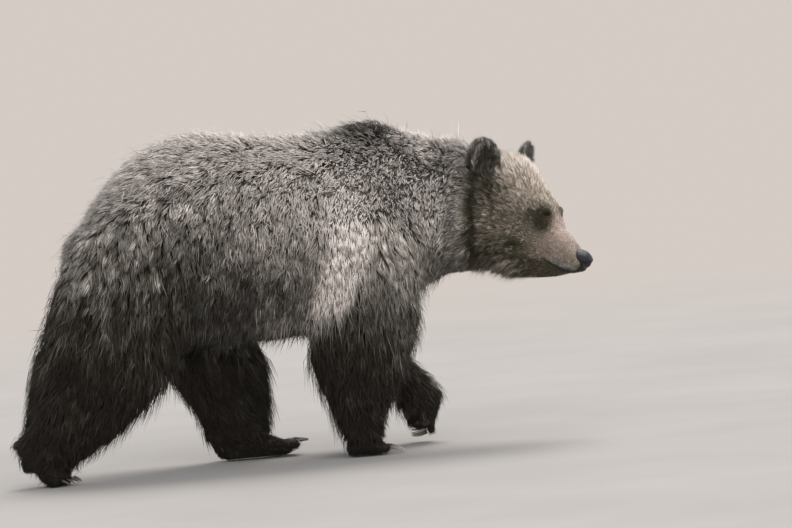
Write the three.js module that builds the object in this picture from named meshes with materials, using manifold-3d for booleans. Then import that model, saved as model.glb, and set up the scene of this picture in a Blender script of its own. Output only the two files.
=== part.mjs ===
// A walking brown bear, life size, as a still museum model: three feet are down and the left forepaw swings.
// Millimetres, +X the way the body faces, +Y its left, +Z up. All sizes run out to the tips of the coat.
import * as THREE from 'three';
import { LoftGeometry } from 'three/addons/geometries/LoftGeometry.js';
import { mergeVertices } from 'three/addons/utils/BufferGeometryUtils.js';
import Module from 'manifold-3d';

const wasm = await Module();
wasm.setup();

// ---- Driving sizes ----
const GAP = 0.3; // between pieces that meet
const REACH = 3000; // a cutting block is larger than the bear
const BELLY_LEVEL = 322; // below this height there is nothing but legs
const MIDWAY = -200; // where the fore and hind quarters part below the belly
const LEG_DEPTH = 95; // a leg's top is let into the trunk as far as this from the midline

// The head's own frame stands in the middle of the brain case. Angles are in degrees.
const HEAD_PLACE = { x: 445, y: -70, z: 632, turn: -37, nod: 24, roll: -3.4 };
const EYE = { x: 135, side: 42, z: 37, radius: 12.5 };
const NOSE = { x: 263, z: -46, half: [24, 28, 22], nod: 8 };
const NOSTRIL = { x: 284, side: 13, z: -46, half: [9, 5, 6], turn: 24 };
const EAR = { turn: 38, splay: 24, tilt: -10, width: 51, height: 68, depth: 24 };
// The left ear is set lower and further forward than the right.
const EAR_PLACES = { right: { x: -59, y: -115, z: 118 }, left: { x: -45, y: 108, z: 108 } };
const EAR_HOLLOW = { width: 0.74, height: 0.76, ahead: 17, out: 13, up: 4 }; // shares of the ear, and a shift
const MOUTH_LEVEL = -87; // the closed lips, in the head's frame
const MOUTH_CORNER = 118;
const PAST_NOSE = 320; // the jaw is cut out of the head by a block that runs past it on every side
const PAST_CHIN = -300;
const PAST_CHEEKS = 200;

const SINK = 5; // how far a planted sole is pressed flat on the floor
const LIMB_ROOM = 400; // a leg is cut out of the trunk by a block as wide as this

const FRONT_CLAW = { length: 47, thick: 6.2, curl: 44 };
const HIND_CLAW = { length: 30, thick: 5.2, curl: 38 };
const CLAW_ROOT = 4; // how far a claw is let into its toe
const CLAW_SECTION = { half: 0.72, up: 1, down: 0.9 }; // shares of its thickness

const DOME_ANGLES = [24, 58]; // where a rounded end has its rings, in degrees from its pole
const UNDERSIDE = 2.1; // how square the lower half of a ring is, where 2 is an oval
const STEP = Math.PI / 180;

// ---- Finishes ----
const finish = (color, roughness) => new THREE.MeshStandardMaterial({ color, roughness, metalness: 0 });
const grizzled = finish(0x6f6152, 0.9);
const darkFur = finish(0x2b211b, 0.9);
const faceFur = finish(0x7a6449, 0.88);
const earFur = finish(0x3a2b22, 0.9);
const noseLeather = finish(0x17171a, 0.45);
const eyeGloss = finish(0x120c08, 0.1);
const horn = finish(0x6b6152, 0.4);

// ---- Solids ----

// A closed geometry, moved by a matrix, as a solid that can be cut and joined.
function solid(geometry, matrix = new THREE.Matrix4()) {
  const bare = new THREE.BufferGeometry()
    .setAttribute('position', geometry.getAttribute('position').clone())
    .setIndex(geometry.index)
    .applyMatrix4(matrix);
  const merged = mergeVertices(bare, 1e-3);
  const corners = merged.index.array;
  const kept = [];
  for (let i = 0; i < corners.length; i += 3) {
    const [a, b, c] = corners.slice(i, i + 3);
    if (a !== b && b !== c && a !== c) kept.push(a, b, c);
  }
  return new wasm.Manifold(new wasm.Mesh({
    numProp: 3,
    vertProperties: merged.getAttribute('position').array,
    triVerts: new Uint32Array(kept),
  }));
}

function meshOf(name, shape, material) {
  const { numProp, numVert, vertProperties, triVerts } = shape.getMesh();
  const places = new Float32Array(numVert * 3);
  for (let i = 0; i < numVert; i++) places.set(vertProperties.subarray(i * numProp, i * numProp + 3), i * 3);
  const geometry = new THREE.BufferGeometry()
    .setAttribute('position', new THREE.BufferAttribute(places, 3))
    .setIndex(new THREE.BufferAttribute(new Uint32Array(triVerts), 1));
  geometry.computeVertexNormals();
  const mesh = new THREE.Mesh(geometry, material);
  mesh.name = name;
  return mesh;
}

const moved = (shape, matrix) => shape.transform(matrix.elements);

// Everything on the side of a plane that its normal points to.
function halfSpace(point, normal) {
  const block = new THREE.BoxGeometry(REACH, REACH, REACH);
  const up = normal.clone().normalize();
  const turn = new THREE.Quaternion().setFromUnitVectors(new THREE.Vector3(0, 0, 1), up);
  const centre = point.clone().addScaledVector(up, REACH / 2);
  return solid(block, new THREE.Matrix4().compose(centre, turn, new THREE.Vector3(1, 1, 1)));
}

// A shape parted by a plane, with the gap between the two pieces.
function parted(shape, point, normal) {
  const up = normal.clone().normalize();
  const ahead = shape.intersect(halfSpace(point.clone().addScaledVector(up, GAP / 2), up));
  const behind = shape.intersect(halfSpace(point.clone().addScaledVector(up, -GAP / 2), up.clone().negate()));
  return { ahead: largest(ahead), behind: largest(behind) };
}

// The main body of a cut, without crumbs.
function largest(shape) {
  return shape.decompose().reduce((best, piece) => (piece.volume() > best.volume() ? piece : best));
}

// ---- Lofts ----

// A function that gives smooth values between the rows of a table, for t from 0 to 1.
function smoothRows(rows) {
  const curves = [];
  for (let first = 0; first < rows[0].length; first += 3) {
    const knots = rows.map((row) => new THREE.Vector3(row[first], row[first + 1] ?? 0, row[first + 2] ?? 0));
    curves.push(new THREE.CatmullRomCurve3(knots, false, 'catmullrom', 0.5));
  }
  return (t) => curves.flatMap((curve) => curve.getPoint(t).toArray());
}

const power = (value, exponent) => Math.sign(value) * Math.abs(value) ** exponent;

// One ring: an oval with its own upper and lower height. Its upper half is peaked for a crest below 2.
function ring(sides, centre, across, upward, { half, up, down, crest }) {
  return Array.from({ length: sides }, (_, i) => {
    const angle = (i / sides) * 2 * Math.PI;
    const bend = 2 / (Math.sin(angle) > 0 ? crest : UNDERSIDE);
    return centre.clone()
      .addScaledVector(across, half * power(Math.cos(angle), bend))
      .addScaledVector(upward, (Math.sin(angle) > 0 ? up : down) * power(Math.sin(angle), bend));
  });
}

// A closed body through rows of [x, y, z, half width, up, down, crest]. Its rings stand across the x axis.
// On a leg they lie level, with up forward and down back. An end is flat, or a dome that is as deep as a
// share of its half width.
function loft(rows, { rings, sides, level = false, domes = [0, 0] }) {
  const at = smoothRows(rows);
  const across = new THREE.Vector3(0, 1, 0);
  const upward = level ? new THREE.Vector3(1, 0, 0) : new THREE.Vector3(0, 0, 1);
  const along = level ? new THREE.Vector3(0, 0, -1) : new THREE.Vector3(1, 0, 0);
  const section = (t, push = 0, size = 1) => {
    const [x, y, z, half, up, down, crest] = at(t);
    const centre = new THREE.Vector3(x, y, z).addScaledVector(along, push);
    const reach = { half: half * size, up: up * size, down: down * size, crest };
    return ring(sides, centre, across, upward, reach);
  };
  const dome = (t, depth, turn) => (depth > 0 ? DOME_ANGLES : []).map((degrees) => {
    const reach = at(t)[3] * depth;
    return section(t, turn * reach * Math.cos(degrees * STEP), Math.sin(degrees * STEP));
  });
  const sections = [
    ...dome(0, domes[0], -1),
    ...Array.from({ length: rings + 1 }, (_, i) => section(i / rings)),
    ...dome(1, domes[1], 1).reverse(),
  ];
  return new LoftGeometry(sections, { capStart: true, capEnd: true });
}

function ellipsoid(radii, place = [0, 0, 0], turns = [0, 0, 0], detail = [12, 8]) {
  const matrix = new THREE.Matrix4().compose(
    new THREE.Vector3(...place),
    new THREE.Quaternion().setFromEuler(new THREE.Euler(...turns.map((degrees) => degrees * STEP), 'ZYX')),
    new THREE.Vector3(...radii),
  );
  return solid(new THREE.SphereGeometry(1, ...detail), matrix);
}

// ---- Trunk and neck, rows of [x, y, z, half width, up, down, crest] ----

function trunkShape() {
  return solid(loft([
    [-728, 0, 590, 142, 92, 120, 2.1],
    [-652, 0, 590, 204, 196, 210, 1.95],
    [-560, 0, 595, 224, 270, 245, 1.9],
    [-450, 0, 600, 238, 314, 262, 1.9],
    [-340, 0, 600, 246, 312, 268, 1.9],
    [-220, 0, 598, 252, 294, 268, 1.9],
    [-95, 0, 596, 247, 292, 258, 1.85],
    [-15, 0, 598, 236, 296, 250, 1.75],
    [55, 0, 600, 224, 317, 238, 1.6],
    [120, 0, 604, 212, 304, 214, 1.65],
    [185, -4, 612, 192, 262, 182, 1.85],
    [240, -10, 622, 172, 222, 165, 2],
  ], { rings: 13, sides: 16, domes: [0.35, 0.3] }));
}

function neckShape() {
  return solid(loft([
    [130, 0, 640, 196, 232, 212, 1.9],
    [205, -4, 646, 182, 212, 198, 2],
    [270, -16, 652, 166, 191, 196, 2],
    [330, -34, 656, 150, 176, 184, 2],
    [385, -58, 642, 128, 160, 165, 2],
    [415, -80, 628, 96, 122, 125, 2],
  ], { rings: 4, sides: 16 }));
}

// ---- Legs, from the top down ----

// A standing foreleg. side is -1 on the right.
function standingForeleg(side) {
  return solid(loft([
    [66, side * 116, 680, 72, 62, 70, 2],
    [62, side * 134, 600, 98, 122, 140, 2],
    [48, side * 142, 500, 100, 142, 158, 2],
    [28, side * 142, 410, 92, 156, 162, 2],
    [10, side * 136, 335, 84, 158, 158, 2],
    [0, side * 130, 270, 76, 140, 132, 2],
    [-3, side * 126, 203, 67, 108, 106, 2],
    [-6, side * 124, 150, 59, 86, 84, 2],
    [-8, side * 122, 105, 52, 62, 66, 2],
    [-8, side * 121, 62, 49, 48, 56, 2],
    [-6, side * 120, 34, 50, 44, 50, 2],
  ], { rings: 9, sides: 12, level: true }));
}

// A swinging foreleg, with its wrist carried forward.
function swingingForeleg(side) {
  return solid(loft([
    [66, side * 116, 680, 72, 62, 70, 2],
    [60, side * 134, 600, 98, 122, 140, 2],
    [54, side * 142, 500, 100, 134, 158, 2],
    [45, side * 142, 410, 90, 127, 150, 2],
    [50, side * 136, 340, 78, 96, 134, 2],
    [62, side * 130, 290, 70, 68, 116, 2],
    [90, side * 126, 250, 64, 62, 106, 2],
    [124, side * 124, 214, 60, 60, 96, 2],
    [154, side * 122, 180, 57, 62, 82, 2],
    [172, side * 121, 146, 55, 60, 62, 2],
    [182, side * 121, 112, 50, 55, 58, 2],
  ], { rings: 9, sides: 12, level: true }));
}

// A trailing hind leg, stretched back as it pushes off.
function trailingHindLeg(side) {
  return solid(loft([
    [-590, side * 92, 730, 72, 90, 96, 2],
    [-606, side * 116, 660, 110, 148, 140, 2],
    [-628, side * 128, 573, 120, 190, 178, 2],
    [-652, side * 134, 458, 112, 198, 201, 2],
    [-690, side * 136, 345, 96, 204, 196, 2],
    [-738, side * 136, 262, 84, 220, 174, 2],
    [-774, side * 135, 200, 72, 176, 146, 2],
    [-808, side * 134, 145, 60, 156, 126, 2],
    [-840, side * 133, 104, 52, 136, 104, 2],
    [-872, side * 132, 68, 46, 114, 74, 2],
    [-892, side * 132, 44, 40, 84, 50, 2],
  ], { rings: 9, sides: 12, level: true }));
}

// A leading hind leg, set down under the belly.
function leadingHindLeg(side) {
  return solid(loft([
    [-590, side * 92, 730, 72, 90, 96, 2],
    [-590, side * 116, 660, 110, 148, 140, 2],
    [-560, side * 128, 573, 120, 200, 190, 2],
    [-486, side * 132, 458, 108, 206, 190, 2],
    [-408, side * 130, 352, 92, 158, 166, 2],
    [-372, side * 128, 280, 80, 126, 160, 2],
    [-358, side * 126, 210, 70, 118, 132, 2],
    [-350, side * 124, 145, 60, 108, 102, 2],
    [-342, side * 122, 96, 52, 94, 92, 2],
    [-336, side * 121, 52, 46, 84, 82, 2],
    [-330, side * 120, 6, 40, 72, 66, 2],
  ], { rings: 9, sides: 12, level: true }));
}

// ---- Paws, in frames with toes along +X and the sole at z = 0 ----

// A claw with its root at the origin, curving down as it runs forward.
function clawShape({ length, thick, curl }) {
  const sections = [];
  const bends = 3;
  for (let i = 0; i <= bends; i++) {
    const t = i / bends;
    const turn = t * curl * STEP;
    const radius = length / (curl * STEP);
    const centre = new THREE.Vector3(radius * Math.sin(turn) - CLAW_ROOT, 0, -radius * (1 - Math.cos(turn)));
    const slim = thick * Math.sqrt(1 - 0.985 * t) * (1 - 0.12 * t);
    const upward = new THREE.Vector3(Math.sin(turn), 0, Math.cos(turn));
    sections.push(ring(5, centre, new THREE.Vector3(0, 1, 0), upward, {
      half: CLAW_SECTION.half * slim, up: CLAW_SECTION.up * slim, down: CLAW_SECTION.down * slim, crest: 2,
    }));
  }
  return solid(new LoftGeometry(sections, { capStart: true, capEnd: true }));
}

const moving = (x, y, z, turn = 0, nod = 0, roll = 0) => new THREE.Matrix4().compose(
  new THREE.Vector3(x, y, z),
  new THREE.Quaternion().setFromEuler(new THREE.Euler(roll * STEP, nod * STEP, turn * STEP, 'ZYX')),
  new THREE.Vector3(1, 1, 1),
);

// Five toes in an arc ahead of a pad, each with its claw. A bend above 0 drops their tips.
function toes({ spread, ahead, arc, radii, rise, fan, bend, claw, clawRise }) {
  const pieces = [];
  const claws = [];
  for (let digit = -2; digit <= 2; digit++) {
    const share = digit / 2;
    const knuckle = moving(ahead - arc * share * share, spread * share, radii[2] + rise, fan * share, bend);
    const toe = (grow) => solid(
      new THREE.SphereGeometry(1, 6, 4),
      knuckle.clone().scale(new THREE.Vector3(...radii).addScalar(grow)),
    );
    const root = knuckle.clone().multiply(moving(radii[0] * 0.8, 0, clawRise));
    pieces.push(toe(0));
    claws.push(largest(moved(clawShape(claw), root).subtract(toe(GAP))));
  }
  return { pieces, claws };
}

// A forepaw, its palm deep with fur when the wrist is bent. The palm runs forward as far as reach.
// Its toes are placed by ahead, rise and bend.
function forepaw({ bend, ahead, rise, reach, deep }) {
  const palm = solid(loft([
    [-44, 0, 28 * deep, 36, 30 * deep, 28 * deep, 2],
    [-20, 0, 34 * deep, 50, 44 * deep, 34 * deep, 2.2],
    [12, 0, 32 * deep, 57, 38 * deep, 32 * deep, 2.3],
    [reach, 0, 25 * deep, 54, 24 * deep, 25 * deep, 2.3],
  ], { rings: 3, sides: 8, domes: [0.3, 0] }));
  const { pieces, claws } = toes({
    spread: 44, ahead, arc: 13, radii: [23, 14, 18], rise, fan: 9, bend, claw: FRONT_CLAW, clawRise: 4,
  });
  return { body: wasm.Manifold.union([palm, ...pieces]), claws };
}

// A hind foot. heelLift swings the sole up about the ball of the foot, and bend drops the toes.
function hindFoot({ heelLift, bend, rise }) {
  const sole = solid(loft([
    [-150, 0, 33, 27, 16, 31, 2],
    [-128, 0, 40, 38, 34, 40, 2.1],
    [-90, 0, 40, 44, 56, 40, 2.2],
    [-45, 0, 34, 48, 46, 34, 2.2],
    [-5, 0, 28, 53, 36, 28, 2.3],
    [22, 0, 24, 50, 26, 24, 2.3],
  ], { rings: 5, sides: 8, domes: [0.35, 0] }), moving(0, 0, 0, 0, heelLift));
  const { pieces, claws } = toes({
    spread: 42, ahead: 42, arc: 10, radii: [25, 15, 20], rise, fan: 7, bend, claw: HIND_CLAW, clawRise: 3,
  });
  return { body: wasm.Manifold.union([sole, ...pieces]), claws };
}

// ---- Putting the legs together ----

// The side outline of the part of a leg that is let into the trunk: upright sides under an arch.
function legRegion({ back, front, spring, top, foot, side }, grow) {
  const outline = new THREE.Shape();
  const middle = (back + front) / 2;
  const half = (front - back) / 2 + grow;
  outline.moveTo(front + grow, BELLY_LEVEL - 1);
  outline.lineTo(front + grow, spring);
  outline.absellipse(middle, spring, half, top - spring + grow, 0, Math.PI, false, 0);
  outline.lineTo(foot - grow, BELLY_LEVEL - 1);
  const depth = LIMB_ROOM + grow;
  const upper = new THREE.ExtrudeGeometry(outline, { depth, bevelEnabled: false, curveSegments: 5 });
  // The extrusion rises along its own z, so it is stood up to run outwards from its inner limit.
  const stand = new THREE.Matrix4().makeRotationX(Math.PI / 2);
  const inner = LEG_DEPTH - grow;
  const shift = new THREE.Matrix4().makeTranslation(0, side < 0 ? -inner : inner + depth, 0);
  return solid(upper, shift.multiply(stand));
}

// All of a leg below the belly, on its own side and in its own half.
function legBelow(end, side, grow) {
  const level = new THREE.Vector3(0, 0, BELLY_LEVEL + grow);
  const below = halfSpace(level, new THREE.Vector3(0, 0, -1));
  const own = halfSpace(new THREE.Vector3(0, side * (GAP / 2 - grow), 0), new THREE.Vector3(0, side, 0));
  const forward = end === 'front' ? 1 : -1;
  const half = halfSpace(
    new THREE.Vector3(MIDWAY + forward * (GAP / 2 - grow), 0, 0),
    new THREE.Vector3(forward, 0, 0),
  );
  return below.intersect(own).intersect(half);
}

const LEGS = [
  {
    end: 'front', label: 'right', side: -1, shape: standingForeleg(-1),
    names: ['upper_arm', 'forearm', 'forepaw'],
    region: { back: -105, front: 178, spring: 520, top: 668, foot: -175 },
    joint: { point: [0, 0, 318], normal: [0.12, 0, -1] },
    paw: forepaw({ bend: -2, ahead: 52, rise: 3, reach: 40, deep: 1 }), place: moving(-8, -120, -SINK, 5, 0),
    wrist: { point: [0, 0, 68], normal: [0, 0, -1] },
  },
  {
    end: 'front', label: 'left', side: 1, shape: swingingForeleg(1),
    names: ['upper_arm', 'forearm', 'forepaw'],
    region: { back: -105, front: 178, spring: 520, top: 668, foot: -120 },
    joint: { point: [60, 0, 350], normal: [0.35, 0, -1] },
    paw: forepaw({ bend: 66, ahead: 56, rise: 46, reach: 44, deep: 1.5 }),
    place: moving(126, 121, 86, -6, 80),
    wrist: { point: [-42, 0, 30], normal: [1, 0, 0] },
  },
  {
    end: 'hind', label: 'right', side: -1, shape: trailingHindLeg(-1),
    names: ['thigh', 'shank', 'hind_foot'],
    region: { back: -812, front: -455, spring: 560, top: 742, foot: -960 },
    joint: { point: [-690, 0, 330], normal: [-0.25, 0, -1] },
    paw: hindFoot({ heelLift: 50, bend: 4, rise: 2 }), place: moving(-871, -132, -SINK, -24, 0),
    wrist: { point: [-40, 0, 108], normal: [-0.8, 0, -1] },
  },
  {
    end: 'hind', label: 'left', side: 1, shape: leadingHindLeg(1),
    names: ['thigh', 'shank', 'hind_foot'],
    region: { back: -790, front: -345, spring: 560, top: 742, foot: -700 },
    joint: { point: [-400, 0, 318], normal: [0.2, 0, -1] },
    paw: hindFoot({ heelLift: 0, bend: -22, rise: 15 }), place: moving(-226, 121, -SINK, 6, 0),
    wrist: { point: [-90, 0, 84], normal: [0, 0, -1] },
  },
];

// Soles are flat where they stand.
const ABOVE_FLOOR = halfSpace(new THREE.Vector3(), new THREE.Vector3(0, 0, 1));
const whole = wasm.Manifold.union([trunkShape(), neckShape(), ...LEGS.map((leg) => leg.shape)]);
let torso = whole;

const bear = new THREE.Group();

for (const leg of LEGS) {
  const { end, label, side, names, region, joint, paw, place, wrist } = leg;
  const zone = (grow) => legRegion({ ...region, side }, grow).add(legBelow(end, side, grow));
  torso = torso.subtract(zone(GAP));
  const limb = largest(whole.intersect(zone(0)));
  const upper = parted(limb, new THREE.Vector3(...joint.point), new THREE.Vector3(...joint.normal));
  bear.add(meshOf(`${names[0]}_${label}`, upper.behind, darkFur));

  // The lower leg and its paw are joined and parted again in the paw's own frame.
  const grounded = upper.ahead.add(moved(paw.body, place)).intersect(ABOVE_FLOOR);
  const lower = parted(moved(grounded, place.clone().invert()), new THREE.Vector3(...wrist.point),
    new THREE.Vector3(...wrist.normal));
  const pawGroup = new THREE.Group();
  pawGroup.applyMatrix4(place);
  pawGroup.add(meshOf(`${names[1]}_${label}`, lower.behind, darkFur));
  pawGroup.add(meshOf(`${names[2]}_${label}`, lower.ahead, darkFur));
  const clawName = end === 'front' ? 'fore_claw' : 'hind_claw';
  paw.claws.forEach((claw, i) => pawGroup.add(meshOf(`${clawName}_${label}_${i + 1}`, claw, horn)));
  bear.add(pawGroup);
}

// ---- Head, in its own frame: +X along the closed mouth ----

const { x: headX, y: headY, z: headZ, turn: headTurn, nod: headNod, roll: headRoll } = HEAD_PLACE;
const headFrame = moving(headX, headY, headZ, headTurn, headNod, headRoll);

function skullShape() {
  return solid(loft([
    [-104, 0, 0, 108, 118, 122, 2],
    [-50, 0, -6, 124, 152, 142, 2.1],
    [0, 0, -16, 131, 162, 142, 2.1],
    [42, 0, -26, 130, 150, 138, 2],
    [84, 0, -36, 116, 128, 128, 1.95],
    [118, 0, -44, 93, 112, 113, 2],
    [137, 0, -47, 78, 102, 104, 2.2],
    [156, 0, -51, 66, 82, 93, 2.4],
    [182, 0, -56, 55, 63, 76, 2.4],
    [212, 0, -60, 49, 52, 57, 2.5],
    [244, 0, -62, 44, 34, 39, 2.4],
    [262, 0, -64, 36, 24, 27, 2.2],
  ], { rings: 10, sides: 16, domes: [0.3, 0.3] }));
}

function noseShape(grow) {
  return ellipsoid(NOSE.half.map((half) => half + grow), [NOSE.x, 0, NOSE.z], [0, NOSE.nod, 0], [10, 7]);
}

function nostril(side) {
  const { x, z, half, turn } = NOSTRIL;
  return ellipsoid(half, [x, side * NOSTRIL.side, z], [0, 0, side * turn], [6, 4]);
}

// An ear's round leaf, with some of its sizes as shares and its middle moved by shift.
function earLeaf(side, { grow = 0, width = 1, height = 1, shift = [0, 0, 0], detail = [10, 7] }) {
  const { x, y, z } = EAR_PLACES[side < 0 ? 'right' : 'left'];
  return ellipsoid(
    [EAR.depth + grow, EAR.width * width + grow, EAR.height * height + grow],
    [x + shift[0], y + shift[1], z + shift[2]],
    [-side * EAR.splay, EAR.tilt, side * EAR.turn],
    detail,
  );
}

// A cupped ear: its hollow faces forward and out.
function earShape(side) {
  const { width, height, ahead, out, up } = EAR_HOLLOW;
  const hollow = earLeaf(side, { width, height, shift: [ahead, side * out, up], detail: [8, 6] });
  return earLeaf(side, {}).subtract(hollow);
}

function eyeShape(side, grow) {
  const radius = EYE.radius + grow;
  return ellipsoid([radius, radius, radius], [EYE.x, side * EYE.side, EYE.z], [0, 0, 0], [8, 6]);
}

// The lower jaw lies under the lips, ahead of the corner of the mouth.
function jawRegion(grow) {
  const jaw = new THREE.Shape();
  jaw.moveTo(MOUTH_CORNER - grow, MOUTH_LEVEL + grow);
  jaw.lineTo(PAST_NOSE, MOUTH_LEVEL + grow + 4);
  jaw.lineTo(PAST_NOSE, PAST_CHIN);
  jaw.lineTo(MOUTH_CORNER - 40 - grow, PAST_CHIN);
  const block = new THREE.ExtrudeGeometry(jaw, { depth: 2 * PAST_CHEEKS, bevelEnabled: false });
  const stand = new THREE.Matrix4().makeRotationX(Math.PI / 2);
  return solid(block, new THREE.Matrix4().makeTranslation(0, PAST_CHEEKS, 0).multiply(stand));
}

const NAPE = { point: new THREE.Vector3(360, -10, 667), normal: new THREE.Vector3(0.88, -0.36, -0.3) };
const SHOULDER_CUT = { point: new THREE.Vector3(205, 0, 640), normal: new THREE.Vector3(1, 0, 0.18) };
const fromNape = parted(torso.add(moved(skullShape(), headFrame)), NAPE.point, NAPE.normal);
const fromShoulder = parted(fromNape.behind, SHOULDER_CUT.point, SHOULDER_CUT.normal);

let neck = fromShoulder.ahead;
let skull = moved(fromNape.ahead, headFrame.clone().invert()).subtract(noseShape(GAP));
for (const side of [-1, 1]) {
  skull = skull.subtract(eyeShape(side, GAP)).subtract(earLeaf(side, { grow: GAP }));
  neck = neck.subtract(moved(earLeaf(side, { grow: GAP }), headFrame));
}
const jaw = largest(skull.intersect(jawRegion(0)));
skull = largest(skull.subtract(jawRegion(GAP)));

const headGroup = new THREE.Group();
headGroup.applyMatrix4(headFrame);
headGroup.add(meshOf('head', skull, faceFur));
headGroup.add(meshOf('lower_jaw', jaw, faceFur));
headGroup.add(meshOf('nose', noseShape(0).subtract(nostril(-1)).subtract(nostril(1)), noseLeather));
for (const [label, side] of [['right', -1], ['left', 1]]) {
  headGroup.add(meshOf(`ear_${label}`, largest(earShape(side)), earFur));
  headGroup.add(meshOf(`eye_${label}`, eyeShape(side, 0), eyeGloss));
}
bear.add(headGroup);

bear.add(meshOf('neck', largest(neck), grizzled));

// ---- Tail ----

function tailShape(grow) {
  return solid(loft([
    [-712, 0, 640, 26 + grow, 20 + grow, 24 + grow, 2],
    [-750, 0, 600, 32 + grow, 22 + grow, 26 + grow, 2],
    [-776, 0, 552, 28 + grow, 18 + grow, 20 + grow, 2],
    [-785, 0, 518, 16 + grow, 10 + grow, 12 + grow, 2],
  ], { rings: 3, sides: 8, level: true, domes: [0.5, 0.6] }));
}

bear.add(meshOf('tail', tailShape(0), grizzled));
bear.add(meshOf('trunk', largest(fromShoulder.behind.subtract(tailShape(GAP))), grizzled));

// The origin is on the floor under the middle of the whole bear.
bear.updateMatrixWorld(true);
const bounds = new THREE.Box3().setFromObject(bear, true);
const middle = bounds.getCenter(new THREE.Vector3());
bear.position.set(-middle.x, -middle.y, -bounds.min.z);

export default bear;
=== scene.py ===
"""A grizzly walking, as a life-size museum model: one skin under a coat of solid tufts.

Metres, +X the way it faces, +Z up. The head's details are placed in the head's own frame: +X along
the closed mouth, +Y to the bear's left, with the origin in the middle of the brain case.
"""

from math import cos, pi, radians, sin

import bmesh
import bpy
import numpy as np
from mathutils import Matrix, Vector, kdtree, noise
from mathutils.bvhtree import BVHTree


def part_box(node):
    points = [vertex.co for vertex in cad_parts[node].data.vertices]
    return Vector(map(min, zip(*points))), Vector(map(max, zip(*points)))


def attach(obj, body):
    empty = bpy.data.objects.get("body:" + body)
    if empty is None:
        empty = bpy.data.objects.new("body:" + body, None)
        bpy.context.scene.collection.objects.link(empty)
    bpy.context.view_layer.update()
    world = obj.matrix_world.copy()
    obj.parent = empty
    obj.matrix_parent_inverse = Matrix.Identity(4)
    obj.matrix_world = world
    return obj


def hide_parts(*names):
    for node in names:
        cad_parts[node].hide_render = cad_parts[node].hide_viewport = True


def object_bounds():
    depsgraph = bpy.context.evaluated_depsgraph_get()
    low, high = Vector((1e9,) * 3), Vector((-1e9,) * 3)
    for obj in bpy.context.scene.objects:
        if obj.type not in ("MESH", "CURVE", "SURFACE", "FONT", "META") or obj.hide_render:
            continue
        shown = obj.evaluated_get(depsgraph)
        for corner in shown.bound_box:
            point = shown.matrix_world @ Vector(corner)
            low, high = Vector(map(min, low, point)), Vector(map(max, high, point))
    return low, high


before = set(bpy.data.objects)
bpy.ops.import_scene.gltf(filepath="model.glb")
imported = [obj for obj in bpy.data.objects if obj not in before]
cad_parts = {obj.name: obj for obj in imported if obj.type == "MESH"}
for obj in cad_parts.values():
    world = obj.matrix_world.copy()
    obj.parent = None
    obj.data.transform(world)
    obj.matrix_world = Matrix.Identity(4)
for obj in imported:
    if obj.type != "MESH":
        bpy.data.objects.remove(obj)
cad_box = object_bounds()
dice = np.random.default_rng(7)

# ---- Driving sizes ----

HEAD_TURN, HEAD_NOD, HEAD_ROLL = radians(-37), radians(24), radians(-3.4)
BETWEEN_EYES = Vector((0.135, 0.0, 0.037))    # in the head's frame
SKIN_GRAIN = 0.009          # edge length of the skin before the head and paws are refined
SWELL = 0.0006              # so that neighbouring nodes overlap and join
SAME_POINT = 1e-5
FACE_FROM = 0.092           # how far forward in the head the finest skin starts
EYEBALL, LID = 0.0118, 0.0016
BAKE_PATCH = 0.003          # side of one tuft's patch on the unwrap
CAMERA_TURN, CAMERA_RISE, CAMERA_ROLL = radians(-6), radians(3), radians(5)
CAMERA_AIM = Vector((0.4475, 0.0, 0.506))     # from the floor under the middle of the trunk
CAMERA_DISTANCE, VIEW_WIDTH, SENSOR = 14.0, 2.170, 36
SUN_POWER, FILL_POWER, SKY_POWER = 2.6, 2.1, 0.82
BACKGROUND = (0.66, 0.60, 0.555)

FORELEGS, HIND_LEGS = ([[f"{stem}_{side}" for stem in stems] for side in ("right", "left")]
                       for stems in (("upper_arm", "forearm", "forepaw", "fore_claw"),
                                     ("thigh", "shank", "hind_foot", "hind_claw")))
LEGS = FORELEGS + HIND_LEGS
LEG_NODES = [name for leg in LEGS for name in leg[:3]]
HEAD_NODES = ["head", "lower_jaw", "nose", "eye_left", "eye_right"]
EARS = ["ear_left", "ear_right"]
FLESH = ["trunk", "neck", "head", "lower_jaw", "tail"] + EARS + LEG_NODES
UNDER_SKIN = FLESH + ["nose", "eye_left", "eye_right"]
PAWS = [leg[2] for leg in LEGS]
DETAILED = set(HEAD_NODES + EARS + PAWS)


def turned(angle, axis):
    return Matrix.Rotation(angle, 3, axis)


def middle(node):
    low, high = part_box(node)
    return np.array((low + high) / 2)


HEAD_AXES = turned(HEAD_TURN, "Z") @ turned(HEAD_NOD, "Y") @ turned(HEAD_ROLL, "X")
HEAD_AT = Vector((middle("eye_left") + middle("eye_right")) / 2) - HEAD_AXES @ BETWEEN_EYES
HEAD_MATRIX = np.array(HEAD_AXES)
HEAD_ORIGIN = np.array(HEAD_AT)
TRUNK_AT = np.array([middle("trunk")[0], 0, 0])    # on the floor, under the middle of the trunk


def to_head(points):
    """World points, one a row, in the head's frame."""
    return (points - HEAD_ORIGIN) @ HEAD_MATRIX


def middle_in_head(node):
    return to_head(middle(node)[None])[0]


def from_head(points):
    return points @ HEAD_MATRIX.T + HEAD_ORIGIN


def claws_middle(stem):
    return np.mean([middle(f"{stem}_{toe}") for toe in (2, 3, 4)], axis=0)


def unit(vectors):
    return vectors / np.maximum(np.linalg.norm(vectors, axis=-1, keepdims=True), 1e-9)


def fade(values, low, high):
    """0 below low, 1 above high, and a smooth step between."""
    share = np.clip((values - low) / (high - low), 0, 1)
    return share * share * (3 - 2 * share)


def ridge(away, half_width):
    """1 on a line, falling off to each side of it."""
    return np.exp(-(away / half_width) ** 2)


def blob(points, centre, reach):
    """A soft spot: 1 at its centre, falling off over its reach along each axis."""
    away = (points - np.array(centre)) / np.array(reach)
    return np.exp(-(away * away).sum(axis=-1))


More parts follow.
